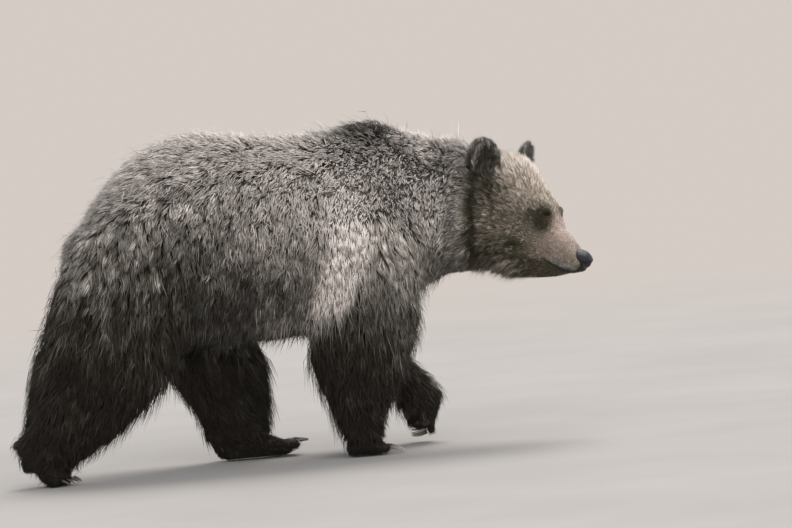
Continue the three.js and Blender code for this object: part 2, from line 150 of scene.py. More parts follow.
def spot(points, centre, reach):
    """A patch with an even middle and a soft edge."""
    away = (points - np.array(centre)) / np.array(reach)
    return 1 - fade(np.linalg.norm(away, axis=-1), 0.55, 1.25)


def mirrored(points):
    """The same points with both sides of the body on its left."""
    return np.column_stack([points[:, 0], np.abs(points[:, 1]), points[:, 2]])


def along_skin(directions, normals):
    """Directions laid flat on the skin."""
    return unit(directions - normals * (directions * normals).sum(1)[:, None])


# ---- Stage: camera, lamps, floor ----

def place_camera():
    """A long lens close to the ground, a little off square to the side and tipped a little."""
    turn, rise, roll = CAMERA_TURN, CAMERA_RISE, CAMERA_ROLL
    back = Vector((sin(turn) * cos(rise), -cos(turn) * cos(rise), sin(rise)))
    right = Vector((cos(turn), sin(turn), 0))
    up = back.cross(right)
    across = right * cos(roll) - up * sin(roll)
    over = right * sin(roll) + up * cos(roll)
    lens = bpy.data.cameras.new("camera")
    lens.sensor_width = SENSOR
    lens.lens = SENSOR * CAMERA_DISTANCE / VIEW_WIDTH
    lens.clip_end = 400
    camera = bpy.data.objects.new("camera", lens)
    place = Vector(TRUNK_AT) + CAMERA_AIM + back * CAMERA_DISTANCE
    camera.matrix_world = Matrix.Translation(place) @ Matrix((across, over, back)).transposed().to_4x4()
    bpy.context.scene.collection.objects.link(camera)
    bpy.context.scene.camera = camera


def add_sun(name, place, power, spread_angle, colour):
    """A soft sun, shining from a place toward a point half a metre above the origin."""
    data = bpy.data.lights.new(name, "SUN")
    data.energy, data.angle, data.color = power, radians(spread_angle), colour
    lamp = bpy.data.objects.new(name, data)
    lamp.location = place
    lamp.rotation_euler = (Vector((0, 0, 0.5)) - Vector(place)).to_track_quat("-Z", "Y").to_euler()
    bpy.context.scene.collection.objects.link(lamp)
    return lamp


def dress_stage():
    """Open sky from above and a little behind, a pale floor and a pale surround."""
    scene = bpy.context.scene
    scene.view_settings.view_transform = "Standard"
    add_sun("sky_key", (1.0, 2.0, 5.2), SUN_POWER, 34, (1.0, 0.965, 0.93))
    fill = add_sun("side_fill", (1.0, -5.0, 2.6), FILL_POWER, 70, (1.0, 0.98, 0.96))
    fill.visible_glossy = False
    world = bpy.data.worlds.new("surround")
    scene.world = world
    world.use_nodes = True
    nodes, links = world.node_tree.nodes, world.node_tree.links
    sky, out = nodes["Background"], nodes["World Output"]
    sky.inputs["Color"].default_value = (0.90, 0.94, 1.0, 1)
    sky.inputs["Strength"].default_value = SKY_POWER
    pale = nodes.new("ShaderNodeBackground")
    pale.inputs["Color"].default_value = (*BACKGROUND, 1)
    seen = nodes.new("ShaderNodeLightPath")
    either = nodes.new("ShaderNodeMath")
    either.operation = "MAXIMUM"
    mix = nodes.new("ShaderNodeMixShader")
    links.new(seen.outputs["Is Camera Ray"], either.inputs[0])
    links.new(seen.outputs["Is Transmission Ray"], either.inputs[1])
    links.new(either.outputs[0], mix.inputs[0])
    links.new(sky.outputs[0], mix.inputs[1])
    links.new(pale.outputs[0], mix.inputs[2])
    links.new(mix.outputs[0], out.inputs["Surface"])

    bm = bmesh.new()
    bmesh.ops.create_circle(bm, cap_ends=True, segments=96, radius=60)
    floor = put_in_scene("floor", mesh_from(bm, "floor"), FLOOR)


# ---- Making meshes and materials ----

def mesh_from(bm, name):
    mesh = bpy.data.meshes.new(name)
    bm.to_mesh(mesh)
    bm.free()
    return mesh


def put_in_scene(name, mesh, *materials):
    piece = bpy.data.objects.new(name, mesh)
    bpy.context.scene.collection.objects.link(piece)
    for material in materials:
        mesh.materials.append(material)
    return piece


def own(piece, slot, *nodes, rounded=0):
    """The piece rides on the one body, is shaded smooth and may be rounded, and hides the CAD nodes it stands
    for.
    """
    piece.data.polygons.foreach_set("use_smooth", np.ones(len(piece.data.polygons), dtype=bool))
    if rounded:
        smooth = piece.modifiers.new("rounded", "SUBSURF")
        smooth.levels = smooth.render_levels = rounded
    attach(piece, "root")
    if nodes:
        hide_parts(*nodes)


def build(name, bm, finish, slot, *nodes, rounded=0):
    """A finished piece from what a bmesh holds."""
    piece = put_in_scene(name, mesh_from(bm, name), finish)
    own(piece, slot, *nodes, rounded=rounded)
    return piece


class Finish:
    """A material being mixed: nodes are added by kind, with their sockets set or fed by name."""

    def __init__(self, name, roughness, specular=0.5):
        self.material = bpy.data.materials.new(name)
        self.material.use_nodes = True
        self.tree = self.material.node_tree
        self.shader = self.tree.nodes["Principled BSDF"]
        self.shader.inputs["Roughness"].default_value = roughness
        self.shader.inputs["Specular IOR Level"].default_value = specular

    def add(self, kind, feeds=None, **settings):
        node = self.tree.nodes.new("ShaderNode" + kind)
        for key, value in settings.items():
            setattr(node, key, value)
        for socket, value in (feeds or {}).items():
            self.feed(node, socket, value)
        return node

    def feed(self, node, socket, value):
        if isinstance(value, bpy.types.NodeSocket):
            self.tree.links.new(value, node.inputs[socket])
        else:
            node.inputs[socket].default_value = value

    def place(self, scale=(1, 1, 1), turn=(0, 0, 0)):
        """Object coordinates, stretched and turned."""
        coords = self.add("TexCoord").outputs["Object"]
        return self.add("Mapping", {"Vector": coords, "Scale": scale, "Rotation": turn}).outputs[0]

    def grain(self, where, scale, detail=3.0, roughness=0.55):
        return self.add("TexNoise", {"Vector": where, "Scale": scale, "Detail": detail,
                                     "Roughness": roughness}).outputs[0]

    def ramp(self, value, low, high, dark, pale):
        """Dark to pale as the value goes from low to high."""
        node = self.add("ValToRGB", {0: value})
        node.color_ramp.elements[0].position = low
        node.color_ramp.elements[1].position = high
        node.color_ramp.elements[0].color = (*dark, 1)
        node.color_ramp.elements[1].color = (*pale, 1)
        return node.outputs[0]

    def attribute(self, name, socket="Color"):
        return self.add("Attribute", attribute_name=name).outputs[socket]

    def tinted(self, first, second):
        """Two colours multiplied."""
        feeds = {0: 1.0, 6: first, 7: second}
        return self.add("Mix", feeds, data_type="RGBA", blend_type="MULTIPLY").outputs[2]

    def greys(self, value, low, high, dark, pale):
        return self.ramp(value, low, high, (dark,) * 3, (pale,) * 3)

    def sum(self, how, first, second):
        return self.add("Math", {0: first, 1: second}, operation=how).outputs[0]

    def colour(self, value):
        self.feed(self.shader, "Base Color", value)

    def bump(self, height, distance, strength=1.0):
        node = self.add("Bump", {"Height": height, "Distance": distance, "Strength": strength})
        self.feed(self.shader, "Normal", node.outputs[0])


def floor_finish():
    finish = Finish("floor_paint", 0.95, 0.2)
    mottle = finish.grain(finish.place(), 1.6, 2.0)
    finish.colour(finish.ramp(mottle, 0.3, 0.7, (0.33, 0.31, 0.29), (0.36, 0.338, 0.317)))
    far = finish.add("Emission", {"Color": (*BACKGROUND, 1)})
    away = finish.add("VectorMath", {0: finish.place()}, operation="LENGTH").outputs["Value"]
    reach = finish.add("MapRange", {0: away, 1: 2.2, 2: 9.0}, interpolation_type="SMOOTHSTEP").outputs[0]
    seen = finish.add("LightPath").outputs["Is Camera Ray"]
    mix = finish.add("MixShader", {0: finish.sum("MULTIPLY", reach, seen)})
    finish.feed(mix, 1, finish.shader.outputs[0])
    finish.feed(mix, 2, far.outputs[0])
    finish.feed(finish.tree.nodes["Material Output"], "Surface", mix.outputs[0])
    return finish.material


def tuft_finish(name, roughness, streak, sheen):
    """Hair in a tuft: its own tint, with finer hairs drawn along it."""
    finish = Finish(name, roughness, 0.28)
    strand = finish.attribute("strand", "Vector")
    along = finish.add("Mapping", {"Vector": strand, "Scale": (5.0, 0.9, 90.0)}).outputs[0]
    hairs = finish.grain(along, 2.2, 2.0)
    shadow = finish.greys(hairs, 0.32, 0.68, 1 - streak, 1 + streak * 0.6)
    finish.colour(finish.tinted(finish.attribute("tint"), shadow))
    finish.feed(finish.shader, "Sheen Weight", sheen)
    finish.feed(finish.shader, "Sheen Roughness", 0.45)
    finish.bump(hairs, 0.0006)
    return finish.material


def skin_finish():
    """Skin and the flat hair on it, with the coat's markings and the painted shade under the coat that its
    tint holds.
    """
    finish = Finish("skin", 0.72, 0.3)
    hairs = finish.grain(finish.place(), 420.0)
    fine = finish.greys(hairs, 0.3, 0.7, 0.62, 1.25)
    broad = finish.greys(finish.grain(finish.place(), 60.0, 2.0), 0.3, 0.7, 0.82, 1.15)
    finish.colour(finish.tinted(finish.tinted(finish.attribute("tint"), fine), broad))
    finish.bump(hairs, 0.0012, 0.8)
    return finish.material


def eye_finish():
    """A wet dark eye: pupil, brown iris with fine spokes, and a dark rim."""
    finish = Finish("eye", 0.12, 0.06)
    spokes = finish.grain(finish.place(), 900.0, 2.0)
    uneven = finish.sum("ADD", finish.attribute("from_pupil", "Fac"), finish.sum("MULTIPLY", spokes, 0.05))
    node = finish.add("ValToRGB", {0: uneven})
    node.color_ramp.elements[0].color = (0.002, 0.002, 0.002, 1)
    node.color_ramp.elements[1].color = (0.012, 0.009, 0.007, 1)
    for position, colour in ((0.30, (0.003, 0.002, 0.002, 1)), (0.34, (0.030, 0.014, 0.006, 1)),
                             (0.55, (0.019, 0.009, 0.005, 1)), (0.68, (0.007, 0.004, 0.003, 1))):
        node.color_ramp.elements.new(position).color = colour
    finish.colour(node.outputs[0])
    for socket, value in (("Coat Weight", 0.3), ("Coat Roughness", 0.03), ("Coat IOR", 1.3)):
        finish.feed(finish.shader, socket, value)
    return finish.material


def leather_finish(name, dark, pale, roughness, cell, height, shine=0.45):
    """Bare pebbled skin: nose pad, lids, lips and soles."""
    finish = Finish(name, roughness, shine)
    spots = finish.add("TexVoronoi", {"Vector": finish.place(), "Scale": 1 / cell},
                       feature="F1").outputs["Distance"]
    creases = finish.grain(finish.place(), 0.35 / cell)
    tone = finish.ramp(creases, 0.3, 0.72, dark, pale)
    finish.colour(finish.tinted(tone, finish.greys(spots, 0.15, 0.75, 1.12, 0.55)))
    worn = finish.sum("ADD", finish.sum("MULTIPLY", creases, 0.25), roughness - 0.12)
    finish.feed(finish.shader, "Roughness", worn)
    finish.bump(finish.sum("MULTIPLY", spots, -1.0), height)
    return finish.material


def horn_finish():
    """Claws: brown at the root and paler to the tip, with growth lines along them."""
    finish = Finish("horn", 0.36, 0.5)
    strand = finish.attribute("strand", "Vector")
    along = finish.add("SeparateXYZ", {0: strand}).outputs["Y"]
    lines = finish.grain(finish.add("Mapping", {"Vector": strand, "Scale": (26, 1.6, 8)}).outputs[0], 2.0)
    tone = finish.ramp(along, 0.05, 0.85, (0.055, 0.040, 0.030), (0.42, 0.36, 0.29))
    worn = finish.tinted(tone, finish.greys(lines, 0.3, 0.7, 0.72, 1.18))
    finish.colour(finish.tinted(worn, finish.attribute("paleness", "Fac")))
    finish.bump(lines, 0.0006, 0.7)
    return finish.material


FLOOR = floor_finish()
SKIN = skin_finish()
EYE = eye_finish()
NOSE = leather_finish("nose_leather", (0.006, 0.006, 0.007), (0.018, 0.018, 0.021), 0.33, 0.0011, 0.0005)
LIPS = leather_finish("lip_leather", (0.007, 0.006, 0.005), (0.018, 0.014, 0.012), 0.60, 0.0016, 0.0004, 0.12)
PADS = leather_finish("pad_leather", (0.022, 0.017, 0.014), (0.070, 0.056, 0.048), 0.62, 0.0022, 0.0008, 0.3)
HORN = horn_finish()
BODY_TUFTS = tuft_finish("body_coat", 0.58, 0.34, 0.12)
LEG_TUFTS = tuft_finish("leg_coat", 0.60, 0.30, 0.05)
FACE_TUFTS = tuft_finish("face_coat", 0.64, 0.26, 0.08)
EAR_TUFTS = tuft_finish("ear_coat", 0.66, 0.26, 0.08)

# ---- Skin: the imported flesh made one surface, refined where the detail is ----

flesh_corners, flesh_faces, flesh_owner = [], [], []
for name in UNDER_SKIN:
    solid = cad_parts[name].data
    solid.calc_loop_triangles()
    start = len(flesh_corners)
    flesh_corners += [vertex.co.copy() for vertex in solid.vertices]
    flesh_faces += [[start + corner for corner in face.vertices] for face in solid.loop_triangles]
    flesh_owner += [name] * len(solid.loop_triangles)
flesh_tree = BVHTree.FromPolygons(flesh_corners, flesh_faces)


def owner_of(point):
    """The CAD node whose surface lies nearest."""
    return flesh_owner[flesh_tree.find_nearest(point)[2]]


def swell(bm, height):
    bm.normal_update()
    for vertex in bm.verts:
        vertex.co += vertex.normal * height


def join_flesh():
    """The flesh nodes, each swollen a hair so that neighbours overlap, made one closed surface."""
    bm = bmesh.new()
    for name in UNDER_SKIN:
        bm.from_mesh(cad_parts[name].data)
    bmesh.ops.remove_doubles(bm, verts=bm.verts, dist=SAME_POINT)
    swell(bm, SWELL)
    rough = put_in_scene("rough_flesh", mesh_from(bm, "rough_flesh"))
    remesh = rough.modifiers.new("one_surface", "REMESH")
    remesh.mode = "VOXEL"
    remesh.voxel_size = SKIN_GRAIN
    graph = bpy.context.evaluated_depsgraph_get()
    joined = bpy.data.meshes.new_from_object(rough.evaluated_get(graph))
    bpy.data.objects.remove(rough)
    bm = bmesh.new()
    bm.from_mesh(joined)
    keep_largest(bm)
    return bm


def keep_largest(bm):
    """Drops every part of the surface but the largest."""
    unseen, largest = set(bm.verts), set()
    while unseen:
        part, front = set(), {unseen.pop()}
        while front:
            part |= front
            front = {edge.other_vert(vertex) for vertex in front for edge in vertex.link_edges} & unseen
            unseen -= front
        largest = max(largest, part, key=len)
    rest = [vertex for vertex in bm.verts if vertex not in largest]
    bmesh.ops.delete(bm, geom=rest, context="VERTS")


def refine(bm, wanted):
    """Halves the edges of the faces whose middle is wanted."""
    edges = {edge for face in bm.faces if wanted(face.calc_center_median()) for edge in face.edges}
    bmesh.ops.subdivide_edges(bm, edges=list(edges), cuts=1, use_grid_fill=True)


def is_detailed(point):
    return owner_of(point) in DETAILED


def is_face(point):
    return owner_of(point) in HEAD_NODES and (HEAD_AXES.transposed() @ (point - HEAD_AT)).x > FACE_FROM


def relax(bm, verts, times):
    for _ in range(times):
        bmesh.ops.smooth_vert(bm, verts=verts, factor=0.5, use_axis_x=True, use_axis_y=True, use_axis_z=True)


def shape_skin():
    """The joined flesh, finer on head and paws and drawn back to the nodes there, then smoothed."""
    bm = join_flesh()
    relax(bm, list(bm.verts), 3)
    refine(bm, is_detailed)
    refine(bm, is_face)
    body, limbs, detail = [], [], []
    for vertex in bm.verts:
        spot, _, index, _ = flesh_tree.find_nearest(vertex.co)
        owner = flesh_owner[index]
        if owner in DETAILED:
            vertex.co = spot
            detail.append(vertex)
        else:
            (limbs if owner in LEG_NODES else body).append(vertex)
    for verts, times in ((body, 12), (limbs, 4), (detail, 5)):
        relax(bm, verts, times)
    bmesh.ops.triangulate(bm, faces=bm.faces)
    return mesh_from(bm, "skin")


def read(source, key, width, kind=float):
    """One property of every item of a mesh's list, a row an item."""
    flat = np.zeros(len(source) * width, dtype=kind)
    source.foreach_get(key, flat)
    return flat.reshape(-1, width)


class Surface:
    """The skin as arrays, with the fields that the coat is grown from."""

    def __init__(self, mesh):
        self.mesh = mesh
        self.count = len(mesh.vertices)
        self.points = read(mesh.vertices, "co", 3)
        self.pairs = read(mesh.edges, "vertices", 2, np.int64)
        self.degree = np.maximum(np.bincount(self.pairs.ravel(), minlength=self.count), 1)
        self.update()

    def update(self):
        self.mesh.vertices.foreach_set("co", self.points.ravel())
        self.mesh.update()
        self.normals = read(self.mesh.vertex_normals, "vector", 3)

    def soften(self, values, times, where=None):
        """Averages a field with its neighbours' values, again and again."""
        flat = values.reshape(self.count, -1).copy()
        a, b = self.pairs.T
        for _ in range(times):
            for column in range(flat.shape[1]):
                around = (np.bincount(a, flat[b, column], self.count)
                          + np.bincount(b, flat[a, column], self.count)) / self.degree
                mixed = 0.4 * flat[:, column] + 0.6 * around
                flat[:, column] = mixed if where is None else np.where(where, mixed, flat[:, column])
        return flat.reshape(values.shape)


# Coat by node, in millimetres: how deep the skin lies, then each tuft's length, width and spacing.
COAT = {
    "trunk": (33, 54, 3.3, 4.5), "neck": (29, 47, 3.1, 4.2), "tail": (12, 42, 3.2, 4.2),
    "head": (9, 18, 2.1, 2.4), "lower_jaw": (9, 22, 2.1, 2.4), "ear": (3.0, 16, 1.6, 2.1),
    "upper_arm": (26, 50, 3.4, 4.4), "thigh": (28, 54, 3.5, 4.6),
    "forearm": (17, 42, 3.2, 3.7), "shank": (17, 46, 3.3, 3.9),
    "forepaw_left": (6, 27, 2.4, 2.7), "forepaw": (5, 15, 2.0, 2.5), "hind_foot": (5, 15, 2.0, 2.5),
}


def coat_of(owner):
    for stem, sizes in COAT.items():
        if owner.startswith(stem):
            return sizes
    return COAT["head"]


skin_mesh = shape_skin()
surface = Surface(skin_mesh)
owners = np.array([owner_of(Vector(point)) for point in surface.points])
sizes = {name: coat_of(name) for name in set(owners)}
depth, length, width, spacing = (np.array([sizes[name][k] for name in owners]) / 1000 for k in range(4))
on_head, on_ear = np.isin(owners, HEAD_NODES), np.isin(owners, EARS)
on_trunk, on_nape = owners == "trunk", np.isin(owners, ["trunk", "neck"])
on_arms = np.isin(owners, [node for leg in FORELEGS for node in leg[:2]])
on_hinds = np.isin(owners, [node for leg in HIND_LEGS for node in leg[:2]])
on_paws = np.isin(owners, PAWS)
in_head = to_head(surface.points)

# The coat is shorter from the shoulders forward, and thins toward the nose and round the eyes.
fore = fade(surface.points[:, 0] - TRUNK_AT[0], 0.20, 0.36) * on_nape
length *= 1 - 0.24 * fore
width *= 1 - 0.10 * fore
toward_nose = fade(in_head[:, 0], -0.02, 0.20)
for field, at_nose in ((depth, 0.0025), (length, 0.0062), (width, 0.0011), (spacing, 0.0018)):
    field[on_head] += (toward_nose * (at_nose - field))[on_head]

for side in ("left", "right"):
    by_eye = blob(in_head, middle_in_head(f"eye_{side}"), (0.024, 0.022, 0.024))
    for field, at_eye in ((depth, 0.0020), (length, 0.0046), (width, 0.0010), (spacing, 0.0016)):
        field += (at_eye - field) * by_eye * on_head

depth = surface.soften(depth, 24)
surface.points -= surface.normals * depth[:, None]
surface.update()
surface.points = surface.soften(surface.points, 3, ~(on_head | on_ear))
surface.update()

# ---- Head: sockets, lids, brow, cheeks, lips, worked into the skin ----

EAR_TURN = radians(38)
EYES = {side: middle_in_head(f"eye_{side}") for side in ("left", "right")}


def push(points, centre, reach, move):
    """Swells or dents the face about a spot, alike on both sides."""
    for side in (1, -1):
        flip = np.array([1, side, 1])
        points += blob(points, np.array(centre) * flip, reach)[:, None] * np.array(move) * flip


# Each swelling or dent of the head, for the left side: its place, its reach and how it moves.
HEAD_WORK = (
    ((0.122, 0.050, 0.062), (0.030, 0.022, 0.014), (0.003, 0.002, 0.004)),      # brow
    ((0.165, 0.052, 0.004), (0.022, 0.018, 0.024), (-0.002, -0.005, -0.002)),   # before the eye
    ((0.080, 0.092, -0.020), (0.045, 0.030, 0.030), (0.0, 0.005, 0.001)),       # cheekbone
    ((0.228, 0.046, -0.072), (0.040, 0.016, 0.016), (0.0, 0.003, -0.001)),      # upper lip
    ((0.246, 0.000, -0.108), (0.026, 0.028, 0.016), (0.002, 0.0, 0.005)),       # chin
    ((0.110, 0.0, 0.085), (0.050, 0.010, 0.030), (0.0, 0.0, -0.003)),           # furrow of the brow
)


def sculpt_head():
    head = to_head(surface.points)
    part = head[on_head]
    for work in HEAD_WORK:
        push(part, *work)
    head[on_head] = part
    return head


def mouth_line(x):
    """Height of the closed lips, from the corner forward to the front."""
    return -0.079 - 0.010 * np.sin(np.clip((x - 0.168) / 0.118, 0, 1) * pi)


def crease_mouth(head):
    """A groove along the lips, and a slight roll of the upper lip above it."""
    x = head[:, 0]
    off = head[:, 2] - mouth_line(x)
    along = fade(x, 0.150, 0.185)
    below_pad = on_head & (x > 0.14)
    groove = ridge(off, 0.0032) * along * below_pad
    inward = np.column_stack([np.where(x > 0.25, -0.6, 0.0), -np.sign(head[:, 1]), np.zeros_like(x)])
    head += inward * (groove * 0.0045)[:, None]
    lip = ridge(off - 0.007, 0.005) * along * below_pad
    head -= inward * (lip * 0.0012)[:, None]


OPEN_WIDE, OPEN_HIGH = radians(43), radians(25)    # the lids' opening, seen from the eye's centre
BALL_INSET = 0.0090         # how far the ball's centre lies behind the middle of the CAD eye


def eye_axes(side):
    """Outward, backward and up, as the eye looks, in the head's frame."""
    sign = 1 if side == "left" else -1
    out = unit(np.array([0.74, sign * 0.64, 0.20]))
    back = unit(np.array([-0.64, sign * 0.74, -0.10]))
    back = unit(back - out * (back @ out))
    up = np.cross(out, back) * sign
    return out, back, up


def eye_centre(side):
    out, _, _ = eye_axes(side)
    return EYES[side] - out * BALL_INSET


def round_eye(side, head):
    """Each point from the ball: its distance, heading, how far that faces out, and its two angles."""
    out, back, up = eye_axes(side)
    away = head - eye_centre(side)
    heading = unit(away)
    facing = heading @ out
    wide, high = np.arctan2(heading @ back, facing), np.arctan2(heading @ up, facing)
    return np.linalg.norm(away, axis=1), heading, facing, wide, high


def open_socket(head):
    """Skin near an eye lies over the ball, and goes behind it inside the opening of the lids."""
    for side in ("left", "right"):
        span, heading, facing, wide, high = round_eye(side, head)
        edge = np.sqrt((wide / (OPEN_WIDE * 1.18)) ** 2 + (high / (OPEN_HIGH * 1.25)) ** 2)
        cover = EYEBALL + LID + 0.0012 + 0.006 * np.clip(1 - facing, 0, 1)
        near = (1 - fade(span, 0.016, 0.033)) * fade(facing, 0.05, 0.35)
        target = np.where(edge < 1, EYEBALL * 0.72, cover)
        goal = eye_centre(side) + heading * target[:, None]
        close = on_head & (span < 0.034) & (facing > 0.05)
        head += (goal - head) * (np.where(edge < 1, 1.0, near) * close)[:, None]


PAD_BED = ((0.264, 0, -0.047), (0.026, 0.027, 0.0235))    # middle and half size of the nose pad's bed


def seat_nose(head):
    """The skin under the nose pad draws back, clear of the nostrils."""
    away = np.linalg.norm((head - PAD_BED[0]) / PAD_BED[1], axis=1)
    under = on_head * (1 - fade(away, 0.72, 0.98)) * (head[:, 0] > 0.25)
    head[:, 0] -= 0.022 * under


head_points = sculpt_head()
crease_mouth(head_points)
seat_nose(head_points)
open_socket(head_points)
surface.points[on_head] = from_head(head_points)[on_head]
surface.update()

NOSE_SEAT = middle_in_head("nose") * (1, 0, 1) - (0.005, 0, 0.002)

# ---- Markings, some of them painted light and shade: one tone over the whole coat, from near black to blond ----

HAIR_TONES = (0.012, 0.035, 0.09, 0.19, 0.34, 0.80, 1.20)
HAIR_COLOURS = {
    "body": ((0.0140, 0.0094, 0.0042), (0.038, 0.030, 0.020), (0.095, 0.087, 0.071),
             (0.198, 0.182, 0.158), (0.352, 0.315, 0.277), (0.84, 0.752, 0.690), (0.95, 0.87, 0.81)),
    "face": ((0.0150, 0.0108, 0.0045), (0.038, 0.033, 0.016), (0.096, 0.083, 0.052),
             (0.202, 0.170, 0.121), (0.385, 0.308, 0.232), (0.86, 0.715, 0.60), (0.96, 0.86, 0.76)),
}
HEIGHT_TONES_WITH_PAINTED_TOP_LIGHT = ((0.05, 0.30, 0.42, 0.50, 0.60, 0.68, 0.86),
               (0.012, 0.020, 0.036, 0.060, 0.19, 0.31, 0.50))    # heights, and the tone at each: the dark legs are the coat's own, the pale upper tones partly painted light from above


def tone_to(tone, share, level):
    return tone + (level - tone) * np.clip(share, 0, 1)


def collar_line(points):
    """1 along the crease that runs down and forward from behind the hump, where the skin dips and the coat is
    darkened as painted shade.
    """
    at = mirrored(points - TRUNK_AT)
    away = at[:, 2] - np.interp(at[:, 0], (0.426, 0.556), (0.845, 0.755))
    along = fade(at[:, 0], 0.396, 0.446) * (1 - fade(at[:, 0], 0.526, 0.576))
    return along * ridge(away, 0.014)


# Marks on the body: how strong each is, its place on the left side, its reach and its tone.
FORE_MARKS = (
    (0.7, (0.330, 0.20, 0.66), (0.200, 0.20, 0.150), 0.48),      # shoulder, paler: partly the coat's own, partly painted light from above
    (0.6, (0.450, 0.16, 0.34), (0.080, 0.20, 0.095), 0.080),     # front of the arm, paler: partly grizzled tips, partly painted sheen
    (0.6, (0.450, 0.20, 0.510), (0.110, 0.20, 0.085), 0.30),     # point of the shoulder
)
OVER_BAR = (
    (0.8, (0.150, 0.16, 0.395), (0.085, 0.20, 0.034), 0.26),     # brisket
    (1.2, (0.400, 0.0, 0.890), (0.105, 0.20, 0.065), 0.040),     # hump
)
# A darker patch on the bear's right side of the neck only, not mirrored, in the fold made by the head turned
# that way: painted shade.
NECK_FOLD_SHADE = ((0.7, (0.620, -0.12, 0.755), (0.05, 0.10, 0.055), 0.05),)
THROAT = ((0.8, (0.611, 0.10, 0.52), (0.09, 0.20, 0.060), 0.14),)


def mark(tone, at, marks):
    for strength, centre, reach, level in marks:
        tone = tone_to(tone, strength * blob(at, centre, reach), level)
    return tone


def body_tone(points):
    """Dark legs to a grizzled back that is paler upward, partly as painted light from above, and the markings
    on it.
    """
    near = points - TRUNK_AT
    at = mirrored(near)
    x, y, z = at.T
    tone = np.interp(z, *HEIGHT_TONES_WITH_PAINTED_TOP_LIGHT)
    rump, hip = fade(-x, 0.24, 0.46), blob(at, (-0.18, 0.20, 0.595), (0.250, 0.25, 0.175))
    tone = tone * (1 - 0.20 * rump) * (1 - 0.62 * hip)
    low = (1 - fade(z, 0.55, 0.85)) * fade(z, 0.24, 0.34)
    partings = np.array([noise.noise(Vector((px * 34, py * 34, pz * 8))) for px, py, pz in points])
    tone = mark(tone * np.exp((0.25 + 0.95 * low) * np.clip(partings, -0.6, 0.6)), at, FORE_MARKS)
    off_bar = np.abs(x - np.interp(z, (0.42, 0.46, 0.60, 0.72), (0.228, 0.252, 0.303, 0.306)))
    bar = fade(z, 0.38, 0.46) * (1 - fade(z, 0.66, 0.84)) * fade(y, 0.08, 0.15)
    tone = tone_to(tone, bar * (1 - fade(off_bar, 0.014, 0.074)), 1.20)
    tone = mark(mark(tone, at, OVER_BAR), near, NECK_FOLD_SHADE)
    # The coat darkens along the collar crease: painted shade in the crease.
    return mark(tone_to(tone, 0.6 * collar_line(points), 0.07), at, THROAT)


def face_tone(points):
    """Tan, paler upward, with dark rings round the eyes; marks are placed from the eye, ear and nose."""
    at = mirrored(to_head(points))
    eye, ear = EYES["left"], mirrored(middle_in_head("ear_right")[None])[0]
    x, _, z = at.T
    cheek = np.interp(z, (-0.13, -0.10, -0.05, 0.03, 0.08, 0.12), (0.050, 0.066, 0.118, 0.135, 0.30, 0.40))
    muzzle = np.interp(z, (-0.11, -0.088, -0.078, -0.05, -0.02, 0.0, 0.03),
                       (0.05, 0.045, 0.15, 0.165, 0.22, 0.32, 0.40))
    tone = cheek + (muzzle - cheek) * fade(x, 0.10, 0.17)
    tone = mark(tone, at, (
        (1.5, eye + (-0.006, 0.010, 0.000), (0.025, 0.034, 0.024), 0.026),       # round the eye
        (1.1, eye + (-0.026, 0.012, -0.012), (0.026, 0.034, 0.019), 0.026),      # behind it
        (1.4, eye + (0.004, 0.018, -0.028), (0.025, 0.034, 0.024), 0.026),       # below it
        (0.95, eye + (-0.042, 0.058, -0.101), (0.026, 0.035, 0.017), 0.018),     # cheek
        (0.70, eye + (-0.060, 0.020, -0.172), (0.042, 0.050, 0.020), 0.26),      # ruff
        (1.00, ear + (0.030, 0.0, -0.062), (0.060, 0.050, 0.050), 0.018)))       # below the ear: partly dark hair, partly painted shade under the ear
    tone = tone_to(tone, 0.98 * spot(at, NOSE_SEAT + (0.006, 0.004, -0.026), (0.021, 0.030, 0.021)), 0.014)
    return tone_to(tone, 0.95 * ridge(z - mouth_line(x), 0.0055) * fade(x, 0.155, 0.180), 0.014)


def past_fold(at):
    """How far the points of the head's frame lie behind the fold between cheek and neck."""
    return np.interp(at[:, 2], (-0.14, -0.05, 0.06), (-0.004, -0.022, -0.062)) - at[:, 0]


def behind_cheek(points):
    """The fold between cheek and neck, from the ear down to the throat; the coat is darkened along it, partly
    dark hair and partly painted shade.
    """
    at = mirrored(to_head(points))
    down = fade(at[:, 2], -0.18, -0.13) * (1 - fade(at[:, 2], 0.07, 0.11))
    return ridge(past_fold(at), 0.018) * down * fade(at[:, 1], 0.02, 0.06)


def on_neck(points):
    """1 where the back of the head already wears the neck's coat."""
    return fade(past_fold(to_head(points)), 0.006, 0.026)


def ear_tone(points):
    """Dark ears with paler hair standing inside the rim."""
    at = to_head(points)
    tone = np.full(len(at), 0.024)
    for side, sign in (("left", 1), ("right", -1)):
        away = at - middle_in_head(f"ear_{side}")
        wide = away @ np.array([-sign * sin(EAR_TURN), cos(EAR_TURN), 0])
        round_rim = np.hypot(wide / 0.051, away[:, 2] / 0.066)
        rim = fade(round_rim, 0.86, 1.02) * fade(away[:, 2], -0.030, 0.020)
        inside = ridge(round_rim - 0.62, 0.13) * fade(away[:, 2], -0.045, -0.015)
        shown = tone_to(tone_to(tone, 0.75 * inside, 0.115), rim, 0.085)
        tone = np.where(at[:, 1] * sign > 0, shown, tone)
    return tone


def coat_tone(points, kind):
    body = body_tone(points)
    face = tone_to(face_tone(points), on_neck(points), body)
    tone = np.where(kind == 1, face, body)
    # Darker along the fold behind the cheek: partly dark hair, partly painted shade in the fold.
    tone = tone_to(tone, 0.95 * behind_cheek(points), 0.026)
    return np.where(kind == 2, ear_tone(points), tone)


def lip_share(points):
    """1 on the grey side of the upper lip."""
    at = mirrored(to_head(points))
    over = mouth_line(at[:, 0])
    return (fade(at[:, 0], 0.180, 0.205) * fade(at[:, 2] - over, -0.001, 0.003)
            * (1 - fade(at[:, 2] - over, 0.014, 0.028)) * fade(at[:, 1], 0.012, 0.022))


